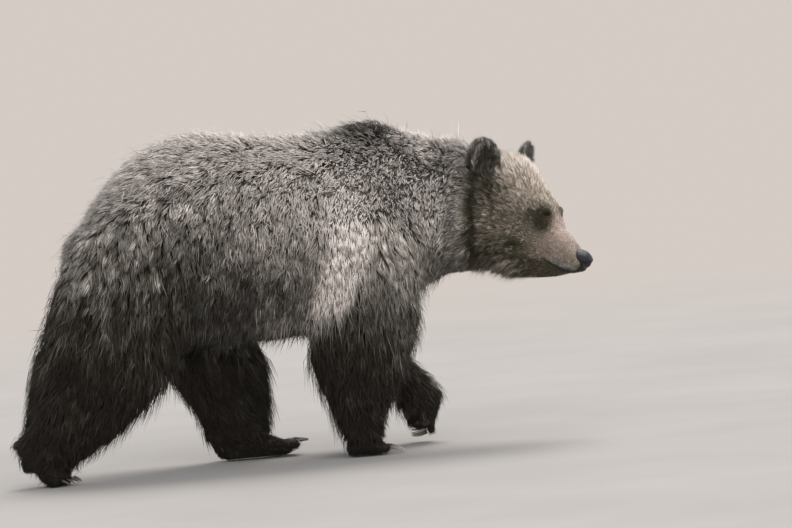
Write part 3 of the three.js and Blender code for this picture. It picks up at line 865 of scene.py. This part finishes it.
def snout_share(points):
    """1 on the short hair of the muzzle, forward of the eyes."""
    return fade(to_head(points)[:, 0], 0.120, 0.165)


LIP_CAST, SNOUT_CAST = np.array([(-0.14, 0.02, 0.24), (0.045, -0.010, 0.06)])    # red, green, blue


def hair_colour(tone, face, lip, snout):
    """Brown for each tone; face goes from 0 to 1 for golden tan, lip for grey, snout for rose."""
    def scale(which):
        return np.column_stack([np.interp(tone, HAIR_TONES, [stop[k] for stop in HAIR_COLOURS[which]])
                                for k in range(3)])
    brown = scale("body") * (1 - face)[:, None] + scale("face") * face[:, None]
    return brown * (1 + lip[:, None] * LIP_CAST + snout[:, None] * SNOUT_CAST)


def paint(mesh, name, colours):
    layer = mesh.color_attributes.new(name, "FLOAT_COLOR", "POINT")
    flat = np.column_stack([colours, np.ones(len(colours))]).astype(np.float32)
    layer.data.foreach_set("color", flat.ravel())


def note(mesh, name, vectors):
    layer = mesh.attributes.new(name, "FLOAT_VECTOR", "POINT")
    layer.data.foreach_set("vector", np.asarray(vectors, dtype=np.float32).ravel())


def sink_folds():
    """The skin draws in behind the cheek and along the collar, and the coat dips with it."""
    dips = 0.011 * behind_cheek(surface.points) + 0.013 * collar_line(surface.points)
    surface.points -= surface.normals * surface.soften(dips, 4)[:, None]
    surface.update()


sink_folds()

# ---- The lie of the coat: which way each hair points, and where there is none ----

NOSE_TIP = np.array([0.315, 0.0, -0.030])


def lie_of_coat():
    """Back and down the body, away from the nose on the head and down the legs, with some swirl."""
    points, normals = surface.points, surface.normals
    x, z = points[:, 0] - TRUNK_AT[0], points[:, 2]
    low, high, rear = np.array([(-0.26, 0, -1.0), (-0.75, 0, -0.70), (-0.42, 0, -1.0)])
    lie = low + (high - low) * fade(z, 0.66, 0.86)[:, None]
    lie += (rear - lie) * fade(-x, 0.18, 0.46)[:, None]
    neck = np.array([-0.42, 0, -0.95]) + np.array([-0.40, 0, 0.40]) * fade(z, 0.68, 0.84)[:, None]
    face = unit(in_head - NOSE_TIP) + np.array([0, 0, -0.25]) * fade(-in_head[:, 0], -0.10, 0.06)[:, None]
    rearward = middle_in_head("ear_right")[0] - in_head[:, 0]
    outward = 0.45 * np.sign(in_head[:, 1])
    ears = np.column_stack([-0.25 - 22 * rearward, outward, np.full(surface.count, 0.85)])
    head_way, ear_way = face @ HEAD_MATRIX.T, ears @ HEAD_MATRIX.T
    for mine, way in ((owners == "neck", neck), (on_head, head_way), (on_ear, ear_way)):
        lie[mine] = way[mine]
    lie[owners == "tail"] = (-0.5, 0, -1.0)
    for upper, lower, paw, claws in LEGS:
        lie[owners == upper] = unit(middle(lower) - middle(upper))
        lie[owners == lower] = unit(middle(paw) - middle(upper))
        lie[owners == paw] = unit(claws_middle(claws) - middle(lower))
    lie = unit(lie) - np.outer(0.25 * on_hinds * fade(-normals[:, 0], -0.5, 0.5), (1, 0, 0))
    lie = surface.soften(unit(lie), 26)
    swirl = np.array([0.22 * noise.noise(Vector(p) * 9) + 0.42 * noise.noise(Vector(p) * 30) for p in points])
    swirl *= 1.0 - 0.35 * on_head
    lie = along_skin(lie, normals)
    side = np.cross(normals, lie)
    return lie * np.cos(swirl)[:, None] + side * np.sin(swirl)[:, None]


SOLES = {"forepaw_left": (-0.98, -0.10, -0.17), "hind_foot_right": (-0.70, 0.31, -0.64)}    # lifted feet


def furred():
    """1 where the coat grows, 0 on soles, lips, lids and the nose's seat."""
    grown = np.ones(surface.count)
    for paw in PAWS:
        mine = owners == paw
        sole = unit(np.array(SOLES.get(paw, (0.0, 0.0, -1.0))))
        grown[mine] = 1 - fade(surface.normals[mine] @ sole, 0.74, 0.94)
        if paw == "forepaw_left":
            grown[mine] = np.maximum(grown[mine], 0.6)
    head = to_head(surface.points)
    off_nose = np.linalg.norm((head - NOSE_SEAT) / (1.15, 1.1, 0.95), axis=1)
    grown[on_head] *= fade(off_nose, 0.023, 0.028)[on_head]
    for side in ("left", "right"):
        span, _, facing, wide, high = round_eye(side, head)
        edge = np.hypot(wide / OPEN_WIDE, high / OPEN_HIGH)
        grown[on_head & (span < 0.02) & (facing > 0) & (edge < 1.30)] = 0
    off = np.abs(head[:, 2] - mouth_line(head[:, 0]))
    grown[on_head & (head[:, 0] > 0.17) & (off < 0.0026)] = 0
    return grown


def ruff(centre, reach):
    """1 on the long hair below the cheek."""
    return spot(mirrored(in_head), centre, reach)


def loose_hair():
    """How freely hair hangs: 0 where it is combed down, 1 where it would hang straight."""
    (ahead, _, above), z = surface.normals.T, surface.points[:, 2]
    loose = np.maximum.reduce([
        0.22 * fade(-above, 0.25, 0.75) * on_trunk,
        0.5 * fade(ahead, 0.3, 0.8) * on_trunk,
        0.6 * fade(-above, 0.1, 0.7) * (owners == "neck"),
        0.9 * on_arms * fade(-ahead, 0.1, 0.7) * fade(z, 0.09, 0.15),
        0.5 * on_arms * fade(z, 0.10, 0.2),
        0.9 * on_hinds * fade(ahead, 0.2, 0.8) * fade(z, 0.10, 0.18),
        0.5 * on_hinds * fade(z, 0.12, 0.22),
        0.6 * ruff((0.050, 0.05, -0.145), (0.090, 0.07, 0.040)) * on_head])
    loose[owners == "forearm_left"] *= 0.5
    loose[owners == "forepaw_left"] = 0.3
    return surface.soften(loose, 6)


def shagginess():
    """Share of wisps that stand out of the coat: most on the legs, throat and rump."""
    (x, _, z), above = surface.points.T, surface.normals[:, 2]
    wisps = np.maximum.reduce([
        0.10 + 0.9 * (on_arms | on_hinds) * (1 - fade(z, 0.42, 0.60)),
        0.6 * (owners == "neck") * (1 - fade(above, -0.6, 0.0)),
        0.5 * fade(TRUNK_AT[0] - x, 0.36, 0.52),
        0.4 * fade(-above, 0.3, 0.8) * on_trunk])
    for mine, share in ((on_paws, 0.25), (on_ear, 0.3), (on_head, 0.04), (owners == "forepaw_left", 0.6)):
        wisps[mine] = share
    wisps = np.maximum(wisps, ruff((0.070, 0.05, -0.150), (0.100, 0.07, 0.040)) * on_head)
    return surface.soften(wisps, 6)


def fullness():
    """Extra height of the coat in metres, where it is longer than its node's."""
    at = mirrored(in_head)
    body = mirrored(surface.points - TRUNK_AT)
    z = body[:, 2]
    ahead, _, above = surface.normals.T
    elbow = on_arms * fade(z, 0.08, 0.14) * (1 - fade(z, 0.32, 0.44))
    full = sum([
        0.024 * blob(at, (-0.115, 0.0, 0.150), (0.060, 0.14, 0.060)) * ~on_ear,     # nape
        0.012 * blob(at, (-0.005, 0.0, 0.140), (0.050, 0.07, 0.040)) * on_head,     # crown
        0.013 * ruff((0.050, 0.05, -0.150), (0.080, 0.07, 0.040)) * on_head,
        0.006 * fade(above, 0.5, 0.9) * on_nape,
        0.018 * blob(body, (0.520, 0.0, 0.410), (0.060, 0.14, 0.090)),              # chest
        0.012 * elbow * fade(-ahead, 0.2, 0.8),
        0.008 * on_hinds * fade(ahead, 0.2, 0.8) * fade(z, 0.10, 0.18),
        0.003 * blob(surface.points, claws_middle("hind_claw_left"), (0.050, 0.070, 0.050)),
        0.005 * blob(surface.points, claws_middle("fore_claw_left"), (0.030, 0.050, 0.040)),
        0.004 * (owners == "hind_foot_right") * fade(-ahead, 0.0, 0.5),
        0.006 * on_ear])
    return surface.soften(full, 8)


def coat_kind(names):
    """1 on the head, 2 on the ears, 0 elsewhere."""
    return np.isin(names, HEAD_NODES) + 2 * np.isin(names, EARS)


lie = lie_of_coat()
grown = furred()
loose = loose_hair()
shaggy = shagginess()
full = fullness()
kind = coat_kind(owners)
face_share = surface.soften(on_head * (1 - on_neck(surface.points)), 16)

# On the stretched side of the neck the head's rear wears the neck's long coat.
stretched = on_neck(surface.points) * on_head * fade(in_head[:, 1], 0.0, 0.05)
for field, size in zip((length, width, spacing), COAT["neck"][1:]):
    field += (size / 1000 - field) * 0.8 * stretched
full += 0.010 * surface.soften(stretched, 8)
tone = surface.soften(coat_tone(surface.points, kind), 6)
in_head = to_head(surface.points)
# Skin under the body's coat takes a darker tint as painted shade beneath the hair; the muzzle's skin keeps
# the full tint.
under = 0.62 + 0.38 * fade(in_head[:, 0], 0.10, 0.20) * on_head
at_lip, at_snout = lip_share(surface.points) * on_head, snout_share(surface.points) * on_head
paint(skin_mesh, "tint", hair_colour(tone, face_share, at_lip, at_snout) * under[:, None])
skin_tree = BVHTree.FromPolygons([Vector(p) for p in surface.points],
                                 [tuple(face.vertices) for face in skin_mesh.polygons])


def unwrap_skin(mesh):
    """The skin laid flat, in islands, as a UV map."""
    piece = put_in_scene("unwrapped", mesh)
    bpy.context.view_layer.objects.active = piece
    piece.select_set(True)
    bpy.ops.object.mode_set(mode="EDIT")
    bpy.ops.mesh.select_all(action="SELECT")
    bpy.ops.uv.smart_project(angle_limit=radians(66), island_margin=0.004)
    bpy.ops.object.mode_set(mode="OBJECT")
    piece.name = "skin"
    return piece


skin = unwrap_skin(skin_mesh)
skin_mesh.materials.append(SKIN)
own(skin, "coat", *FLESH)


# ---- Eyes, lids and nose, made in the head's frame ----

def onto_head(bm):
    bm.transform(Matrix.Translation(HEAD_AT) @ HEAD_AXES.to_4x4())
    bmesh.ops.recalc_face_normals(bm, faces=bm.faces)


CORNEA = radians(42)
IRIS_SPAN = radians(52)


def make_eye(side):
    """A ball with a bulging cornea; each point knows how far it is from the pupil."""
    out, back, up = (Vector(axis) for axis in eye_axes(side))
    centre = Vector(eye_centre(side))
    bm = bmesh.new()
    bmesh.ops.create_uvsphere(bm, u_segments=40, v_segments=32, radius=EYEBALL)
    ring = bm.verts.layers.float.new("from_pupil")
    gaze = Vector((0, 0, 1))
    for vertex in bm.verts:
        off = vertex.co.angle(gaze)
        vertex[ring] = off / IRIS_SPAN
        vertex.co *= 1 + 0.075 * max(0.0, 1 - (off / CORNEA) ** 2)
    bm.transform(Matrix.Translation(centre) @ Matrix((back, up, out)).transposed().to_4x4())
    onto_head(bm)
    build(f"eyeball_{side}", bm, EYE, "eye", f"eye_{side}")


# Rings of a lid, from inside the opening outward: share of the opening's half width, and lift off the ball.
LID_RINGS = ((0.93, -0.0010), (0.96, 0.0003), (1.00, 0.0011), (1.07, 0.0017), (1.17, 0.0019),
             (1.28, 0.0014), (1.38, 0.0003), (1.36, -0.0018), (1.15, -0.0022))


def ring_edges(bm, ring):
    return [bm.edges.get(pair) for pair in zip(ring, ring[1:] + ring[:1])]


def make_lids(side):
    """Both lids as one dark band round an almond opening, with a fold behind the rim."""
    out, back, up = eye_axes(side)
    centre = eye_centre(side)
    steps = 56
    bm = bmesh.new()
    first = bmesh.ops.create_circle(bm, segments=steps, radius=1)["verts"]
    ring, rings = first, [first]
    for _ in LID_RINGS[1:]:
        grown = bmesh.ops.extrude_edge_only(bm, edges=ring_edges(bm, ring))
        place = {vertex: k for k, vertex in enumerate(ring)}
        ring = [None] * steps
        for vertex in grown["geom"]:
            if isinstance(vertex, bmesh.types.BMVert):
                beside = (edge.other_vert(vertex) for edge in vertex.link_edges)
                parent = next(other for other in beside if other in place)
                ring[place[parent]] = vertex
        rings.append(ring)
    for (share, lift), ring in zip(LID_RINGS, rings):
        for step, vertex in enumerate(ring):
            turn = 2 * pi * step / steps
            high = OPEN_HIGH * (1.0 if sin(turn) > 0 else 0.78) * sin(turn) * share
            wide = OPEN_WIDE * cos(turn) * share
            high -= radians(4) * max(0.0, -cos(turn)) ** 2
            heading = unit(out + back * np.tan(wide) + up * np.tan(high))
            vertex.co = centre + heading * (EYEBALL + lift)
    bmesh.ops.bridge_loops(bm, edges=ring_edges(bm, rings[0]) + ring_edges(bm, rings[-1]))
    onto_head(bm)
    build(f"eyelids_{side}", bm, LIPS, "nose", rounded=1)


NOSE_HALF = np.array([0.0295, 0.0285, 0.0245])
# Each dent or swelling on the nose pad, for the left side: its place, its reach and how it moves.
NOSE_WORK = (
    ((0.286, 0.0125, -0.0515), (0.0100, 0.0058, 0.0050), (-0.0130, 0.0010, 0.0005)),    # nostril
    ((0.274, 0.0240, -0.0500), (0.0085, 0.0060, 0.0018), (-0.0008, -0.0042, 0.0)),      # its slit
    ((0.288, 0.0120, -0.0420), (0.0080, 0.0090, 0.0050), (0.0010, 0.0, 0.0006)),        # rim above it
    ((0.282, 0.0210, -0.0570), (0.0080, 0.0060, 0.0045), (0.0008, 0.0010, -0.0003)),    # wing below it
)


def make_nose():
    """The pad: broad above, narrow below, with nostrils, their slits and the cleft."""
    bm = bmesh.new()
    bmesh.ops.create_icosphere(bm, subdivisions=6, radius=1)
    points = np.array([vertex.co for vertex in bm.verts])
    points[:, 0] = np.sign(points[:, 0]) * np.abs(points[:, 0]) ** 0.92
    points = points * NOSE_HALF + NOSE_SEAT
    below = fade(NOSE_SEAT[2] - points[:, 2], 0.0, 0.020)
    points[:, 1] *= 1 - 0.30 * below
    above = fade(points[:, 2] - NOSE_SEAT[2], 0.004, 0.024)
    points[:, 0] -= 0.003 * above
    for centre, reach, move in NOSE_WORK:
        push(points, centre, reach, move)
    points[:, 0] -= 0.0030 * blob(points, (0.286, 0.0, -0.060), (0.020, 0.0016, 0.012))
    for vertex, point in zip(bm.verts, points):
        vertex.co = point
    onto_head(bm)
    build("nose_pad", bm, NOSE, "nose", "nose")


for side in ("left", "right"):
    make_eye(side)
    make_lids(side)
make_nose()

# ---- Claws ----

CLAW_PALENESS = {"fore": 0.85, "hind": 0.30}


def make_claws(stem):
    """The five claws of a paw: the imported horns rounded, with their own length and girth to paint by."""
    bm = bmesh.new()
    bm.verts.layers.float_vector.new("strand")
    names = [f"{stem}_{toe}" for toe in range(1, 6)]
    for toe, name in enumerate(names):
        horn = bmesh.new()
        horn.from_mesh(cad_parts[name].data)
        bmesh.ops.remove_doubles(horn, verts=horn.verts, dist=SAME_POINT)
        layer = horn.verts.layers.float_vector.new("strand")
        points = np.array([vertex.co for vertex in horn.verts])
        centre = points.mean(axis=0)
        length_axis, side_axis, rise_axis = np.linalg.svd(points - centre)[2]
        along = (points - centre) @ length_axis
        girth = np.abs((points - centre) @ side_axis) + np.abs((points - centre) @ rise_axis)
        share = (along - along.min()) / np.ptp(along)
        if girth[share > 0.8].mean() > girth[share < 0.2].mean():
            share = 1 - share
        round_angle = np.arctan2((points - centre) @ rise_axis, (points - centre) @ side_axis)
        for vertex, at, angle in zip(horn.verts, share, round_angle):
            vertex[layer] = (angle / (2 * pi), at, toe * 3.7)
        piece = mesh_from(horn, "horn")
        bm.from_mesh(piece)
        bpy.data.meshes.remove(piece)
    swell(bm, 0.0005)
    claws = build(f"claws_{stem}", bm, HORN, "claw", *names, rounded=2)
    pale = claws.data.attributes.new("paleness", "FLOAT", "POINT")
    shade = CLAW_PALENESS[stem.split("_")[0]]
    pale.data.foreach_set("value", np.full(len(claws.data.vertices), shade, dtype=np.float32))


for leg in LEGS:
    make_claws(leg[3])

# ---- Pads of the two lifted feet ----

# Each pad: how far it lies along the sole and across it, then its half length, width and thickness.
PADS_OF = {
    "forepaw_left": [(-0.012, 0.0, (0.024, 0.040, 0.008))]
    + [(0.034 - 0.0022 * toe * toe, 0.0215 * toe, (0.012, 0.0095, 0.007)) for toe in (-2, -1, 0, 1, 2)],
    "hind_foot_right": [(-0.014, 0.0, (0.034, 0.026, 0.006)), (0.028, 0.0, (0.018, 0.034, 0.007))],
}


PAD_ROOT = 0.004    # how far a pad is let into the skin
PAD_CAST = 0.12     # how far off the paw's middle the pads start on their way to the skin


def make_pads(paw):
    """Bare leathery swellings that follow the sole of a lifted foot."""
    out = Vector(SOLES[paw]).normalized()
    across = Vector((0, 0, 1)).cross(out).normalized()
    along = out.cross(across)
    along = along if along.z < 0 else -along
    centre = Vector(middle(paw)) + out * PAD_CAST
    bm = bmesh.new()
    for forward, sideways, (long, wide, thick) in PADS_OF[paw]:
        made = bmesh.ops.create_icosphere(bm, subdivisions=4, radius=1)["verts"]
        for vertex in made:
            u, v, w = vertex.co
            above = centre + along * (forward + long * u) + across * (sideways + wide * v)
            seat = skin_tree.ray_cast(above, -out)[0] or above - out * PAD_CAST
            vertex.co = seat + out * (thick * w if w > 0 else PAD_ROOT * w)
    bmesh.ops.recalc_face_normals(bm, faces=bm.faces)
    build(f"pads_{paw}", bm, PADS, "nose")


for paw in PADS_OF:
    make_pads(paw)

# ---- Coat ----

def scatter():
    """A root for each tuft, spread evenly over the skin for the spacing there."""
    corners = read(skin_mesh.polygons, "vertices", 3, np.int64)
    a, b, c = (surface.points[corners[:, k]] for k in range(3))
    area = np.linalg.norm(np.cross(b - a, c - a), axis=1) / 2
    expected = area * (grown / spacing ** 2)[corners].mean(axis=1)
    reach = np.cumsum(expected)
    steps = np.arange(int(reach[-1])) + dice.random(int(reach[-1]))
    faces = np.minimum(np.searchsorted(reach, steps), len(corners) - 1)
    r, s = dice.random((2, len(faces)))
    far = np.sqrt(r)
    share = np.column_stack([1 - far, far * (1 - s), far * s])
    uv = read(skin_mesh.uv_layers.active.data, "uv", 2).reshape(-1, 3, 2)
    return corners[faces], share, uv[faces]


def spread(field, corners, share):
    """A vertex field at the roots."""
    values = field[corners]
    if values.ndim == 2:
        return (values * share).sum(axis=1)
    return (values * share[:, :, None]).sum(axis=1)


def ground(points):
    """The nearest skin below each point, with its normal."""
    spots, normals = np.empty_like(points), np.empty_like(points)
    for index, point in enumerate(points):
        spot, normal, _, _ = skin_tree.find_nearest(point)
        spots[index], normals[index] = spot, normal
    return spots, normals


COAT_LOW = np.array(cad_box[0]) - (0.012, 0.012, -0.002)     # how far out a tip may stand
COAT_HIGH = np.array(cad_box[1]) + (0.012, 0.012, 0.014)


class Coat:
    """Every tuft of the coat, as arrays of its root, middle, tip, width and colours."""

    def __init__(self):
        corners, share, uv = scatter()
        self.count = len(corners)
        at = lambda field: spread(field, corners, share)
        self.uv = (uv * share[:, :, None]).sum(axis=1)
        self.owner = owners[corners[np.arange(self.count), share.argmax(axis=1)]]
        self.root = at(surface.points)
        self.normal = unit(at(surface.normals))
        self.face = at(face_share)
        self.loose = at(loose)
        self.wisp = dice.random(self.count) < 0.26 * at(shaggy)
        way = along_skin(at(lie), self.normal)
        stray = (dice.normal(0, 1, self.count) * (0.20 + 0.14 * self.face))[:, None]
        self.way = way * np.cos(stray) + np.cross(self.normal, way) * np.sin(stray)
        self.length = at(length) * dice.uniform(0.78, 1.18, self.count) * (1 + 0.30 * self.loose)
        self.width = at(width) * dice.uniform(0.75, 1.2, self.count)
        self.height = at(depth) * dice.uniform(0.80, 1.25, self.count) + at(full)
        self.length += 1.6 * at(full)
        for field, *span in ((self.length, 1.05, 1.70), (self.width, 0.5, 0.75), (self.height, 1.1, 2.1)):
            field[self.wisp] *= dice.uniform(*span, self.wisp.sum())
        self.comb()
        self.lock = 0.35 * self.gather(50, 0.30) + 0.9 * self.gather(6, 0.62)
        self.lock += 0.5 * self.gather(16, 0.85 * np.clip(2 * self.loose, 0, 1))
        self.tip += self.up * (0.10 * self.lock * self.height)[:, None]
        for points in (self.mid, self.tip):
            np.clip(points, COAT_LOW, COAT_HIGH, out=points)
        self.colour()

    def comb(self):
        """Each tuft leaves its root, then lies along the skin with a wave; loose hair hangs instead."""
        span = np.sqrt(np.maximum(self.length ** 2 - self.height ** 2, (0.5 * self.length) ** 2))
        wave = np.cross(self.normal, self.way) * (self.length * dice.normal(0, 0.09, self.count))[:, None]
        spot, up = ground(self.root + self.way * (span * 0.5)[:, None])
        self.mid = spot + up * (self.height * 0.68)[:, None] + wave
        spot, up = ground(self.root + self.way * span[:, None])
        self.tip = spot + up * self.height[:, None]
        self.up = unit(up + self.normal)
        hang = unit(self.way * 0.65 + self.normal * 0.42 + np.array([0, 0, -0.55]))
        free = np.clip(self.loose, 0, 1)[:, None]
        reach = self.length[:, None]
        self.tip += (self.root + hang * reach - self.tip) * free
        self.mid += (self.root + unit(hang + self.normal * 0.35) * reach * 0.5 - self.mid) * free

    def gather(self, members, strength):
        """Tips draw together into locks of about so many tufts; strength is one value or one a tuft."""
        lead = np.flatnonzero((dice.random(self.count) < 1 / members) & ~self.wisp)
        tree = kdtree.KDTree(len(lead))
        for index, tuft in enumerate(lead):
            tree.insert(self.root[tuft], index)
        tree.balance()
        nearest = np.array([tree.find(root)[1] for root in self.root])
        leader = lead[nearest]
        apart = np.linalg.norm(self.root[leader] - self.root, axis=1)
        pull = strength * (1 - fade(apart, self.length * 0.5, self.length * 1.1))
        pull *= dice.uniform(0.5, 1.15, self.count) * ~self.wisp
        self.tip += (self.tip[leader] - self.tip) * pull[:, None]
        self.mid += (self.mid[leader] - self.mid) * (pull * 0.4)[:, None]
        return dice.normal(0, 1, self.count)[leader]

    def colour(self):
        """Dark at the root, the marking's tone along it, and a paler tip on a grizzled coat."""
        kinds = coat_kind(self.owner)
        at = (self.root + self.mid) / 2
        tone = coat_tone(at, kinds)
        even = 1 - 0.7 * fade(tone, 0.35, 0.6)
        uneven = 0.32 + 0.10 * self.face + 0.14 * (1 - fade(tone, 0.05, 0.15))
        tone = tone * np.exp(even * (dice.normal(0, 0.22, self.count) + uneven * self.lock))
        grizzle = fade(tone, 0.022, 0.08) * np.where(dice.random(self.count) < 0.45, 1.0, 0.3)
        root = 0.38 - 0.08 * self.face + 0.46 * fade(tone, 0.25, 0.6)
        lip, snout = lip_share(at) * (kinds == 1), snout_share(at) * (kinds == 1)
        self.shades = [hair_colour(level, self.face, lip, snout)
                       for level in (tone * root, tone * 1.2, tone * (1.7 + 1.8 * grizzle))]


coat = Coat()
RING, RIDGE = (-0.5, 0.5, 0.0), 0.36    # a tuft's section: left edge, right edge, and a ridge so high
ROOT_DEPTH = 0.0015
RUMP_FROM, FACE_COAT_FROM = -0.42, 0.06
BACK_TO, BELLY_FROM, TRUNK_HEIGHT = 48, 128, 0.55    # degrees from straight up, round this height


def tufts_mesh(name, chosen, bent):
    """The chosen tufts as one mesh: a ridged blade each, with a closed root and a pointed tip.

    A bent one has a second section half way along.
    """
    root, mid, tip, up = (field[chosen] for field in (coat.root, coat.mid, coat.tip, coat.up))
    wide = coat.width[chosen][:, None]
    count = len(chosen)
    normal = coat.normal[chosen]
    across = unit(np.cross(tip - root, up))
    rings = 2 if bent else 1
    size = 3 * rings + 1
    points = np.empty((count, size, 3))
    for corner, shift in enumerate(RING):
        rise = RIDGE if corner == 2 else 0.0
        points[:, corner] = root - normal * ROOT_DEPTH + across * wide * shift * 0.9 + normal * wide * rise
        if bent:
            points[:, 3 + corner] = mid + across * wide * shift + up * wide * rise
    points[:, -1] = tip
    base = size - 4
    quads = [[0, 3, 4, 1], [1, 4, 5, 2], [2, 5, 3, 0]] if bent else []
    tris = [[base, size - 1, base + 1], [base + 1, size - 1, base + 2], [base + 2, size - 1, base], [0, 1, 2]]
    loops = np.array([corner for face in quads + tris for corner in face])
    totals = np.array([len(face) for face in quads + tris])
    mesh = bpy.data.meshes.new(name)
    mesh.vertices.add(count * size)
    mesh.vertices.foreach_set("co", points.ravel())
    corners = ((np.arange(count) * size)[:, None] + loops).ravel()
    mesh.loops.add(len(corners))
    mesh.loops.foreach_set("vertex_index", corners)
    counts = np.tile(totals, count)
    mesh.polygons.add(len(counts))
    mesh.polygons.foreach_set("loop_start", np.concatenate([[0], np.cumsum(counts)[:-1]]))
    mesh.polygons.foreach_set("loop_total", counts)
    mesh.update(calc_edges=True)
    tints = np.empty((count, size, 3))
    tints[:, :3] = (coat.shades[0] if bent else coat.shades[1] * 0.7)[chosen][:, None]
    if bent:
        tints[:, 3:6] = coat.shades[1][chosen][:, None]
    tints[:, -1] = coat.shades[2][chosen]
    paint(mesh, "tint", tints.reshape(-1, 3))
    strand = np.empty((count, size, 3))
    strand[:, :, 0] = [0, 1, 0.5] * rings + [0.5]
    strand[:, :, 1] = [level for ring in range(rings) for level in [ring / rings] * 3] + [1]
    strand[:, :, 2] = dice.random(count)[:, None]
    note(mesh, "strand", strand.reshape(-1, 3))
    lay_patches(mesh, coat.uv[chosen], bent)
    return mesh


def patch_corners(bent):
    """Where each corner of a tuft's faces lies on its square patch: three strips and the root's cap."""
    strips = [(strip / 3, (strip + 1) / 3) for strip in range(3)]
    knee = 0.55 if bent else 0.1
    flat = []
    if bent:
        for left, right in strips:
            flat += [(left, 0.1), (left, knee), (right, knee), (right, 0.1)]
    for left, right in strips:
        flat += [(left, knee), ((left + right) / 2, 1.0), (right, knee)]
    flat += [(0.0, 0.0), (0.3, 0.0), (0.15, 0.08)]
    return np.array(flat)


def lay_patches(mesh, uv, bent):
    """The unwrap of this piece's stretch of skin fills the map, with a small patch at each root."""
    low, high = uv.min(axis=0), uv.max(axis=0)
    home = (uv - low) / (high - low) * (1 - 2 * BAKE_PATCH) + BAKE_PATCH
    corners = home[:, None] + (patch_corners(bent) - 0.5)[None] * BAKE_PATCH
    layer = mesh.uv_layers.new(name="OFBake")
    layer.data.foreach_set("uv", corners.astype(np.float32).ravel())


def grow_coat():
    """The coat as pieces, one for each part of the body."""
    x, y, z = coat.root.T
    owner = coat.owner
    pair = lambda stem: np.isin(owner, [f"{stem}_left", f"{stem}_right"])
    turn = np.degrees(np.arctan2(np.abs(y), z - TRUNK_HEIGHT))
    trunk = np.isin(owner, ["trunk", "tail"])
    rump = trunk & (x < RUMP_FROM)
    back, belly = trunk & ~rump & (turn < BACK_TO), trunk & ~rump & (turn > BELLY_FROM)
    flank = trunk & ~rump & ~back & ~belly
    head = np.isin(owner, HEAD_NODES)
    face = head & (to_head(coat.root)[:, 0] > FACE_COAT_FROM)
    for slot, finish, bent, pieces in (
            ("coat", BODY_TUFTS, True, (
                ("back", back), ("rump", rump), ("belly", belly), ("flank_left", flank & (y > 0)),
                ("flank_right", flank & (y <= 0)), ("neck", owner == "neck"))),
            ("face_coat", FACE_TUFTS, False, (("skull", head & ~face), ("face", face))),
            ("ear_coat", EAR_TUFTS, False, (("ears", pair("ear")),)),
            ("leg_coat", LEG_TUFTS, True, (
                ("upper_arms", pair("upper_arm")), ("forearms", pair("forearm")), ("thighs", pair("thigh")),
                ("shank_left", owner == "shank_left"), ("shank_right", owner == "shank_right"))),
            ("leg_coat", LEG_TUFTS, False, (("paws", np.isin(owner, PAWS)),))):
        for region, chosen in pieces:
            name = f"coat_{region}"
            own(put_in_scene(name, tufts_mesh(name, np.flatnonzero(chosen), bent), finish), slot)


grow_coat()

# ---- Finish ----

place_camera()
dress_stage()
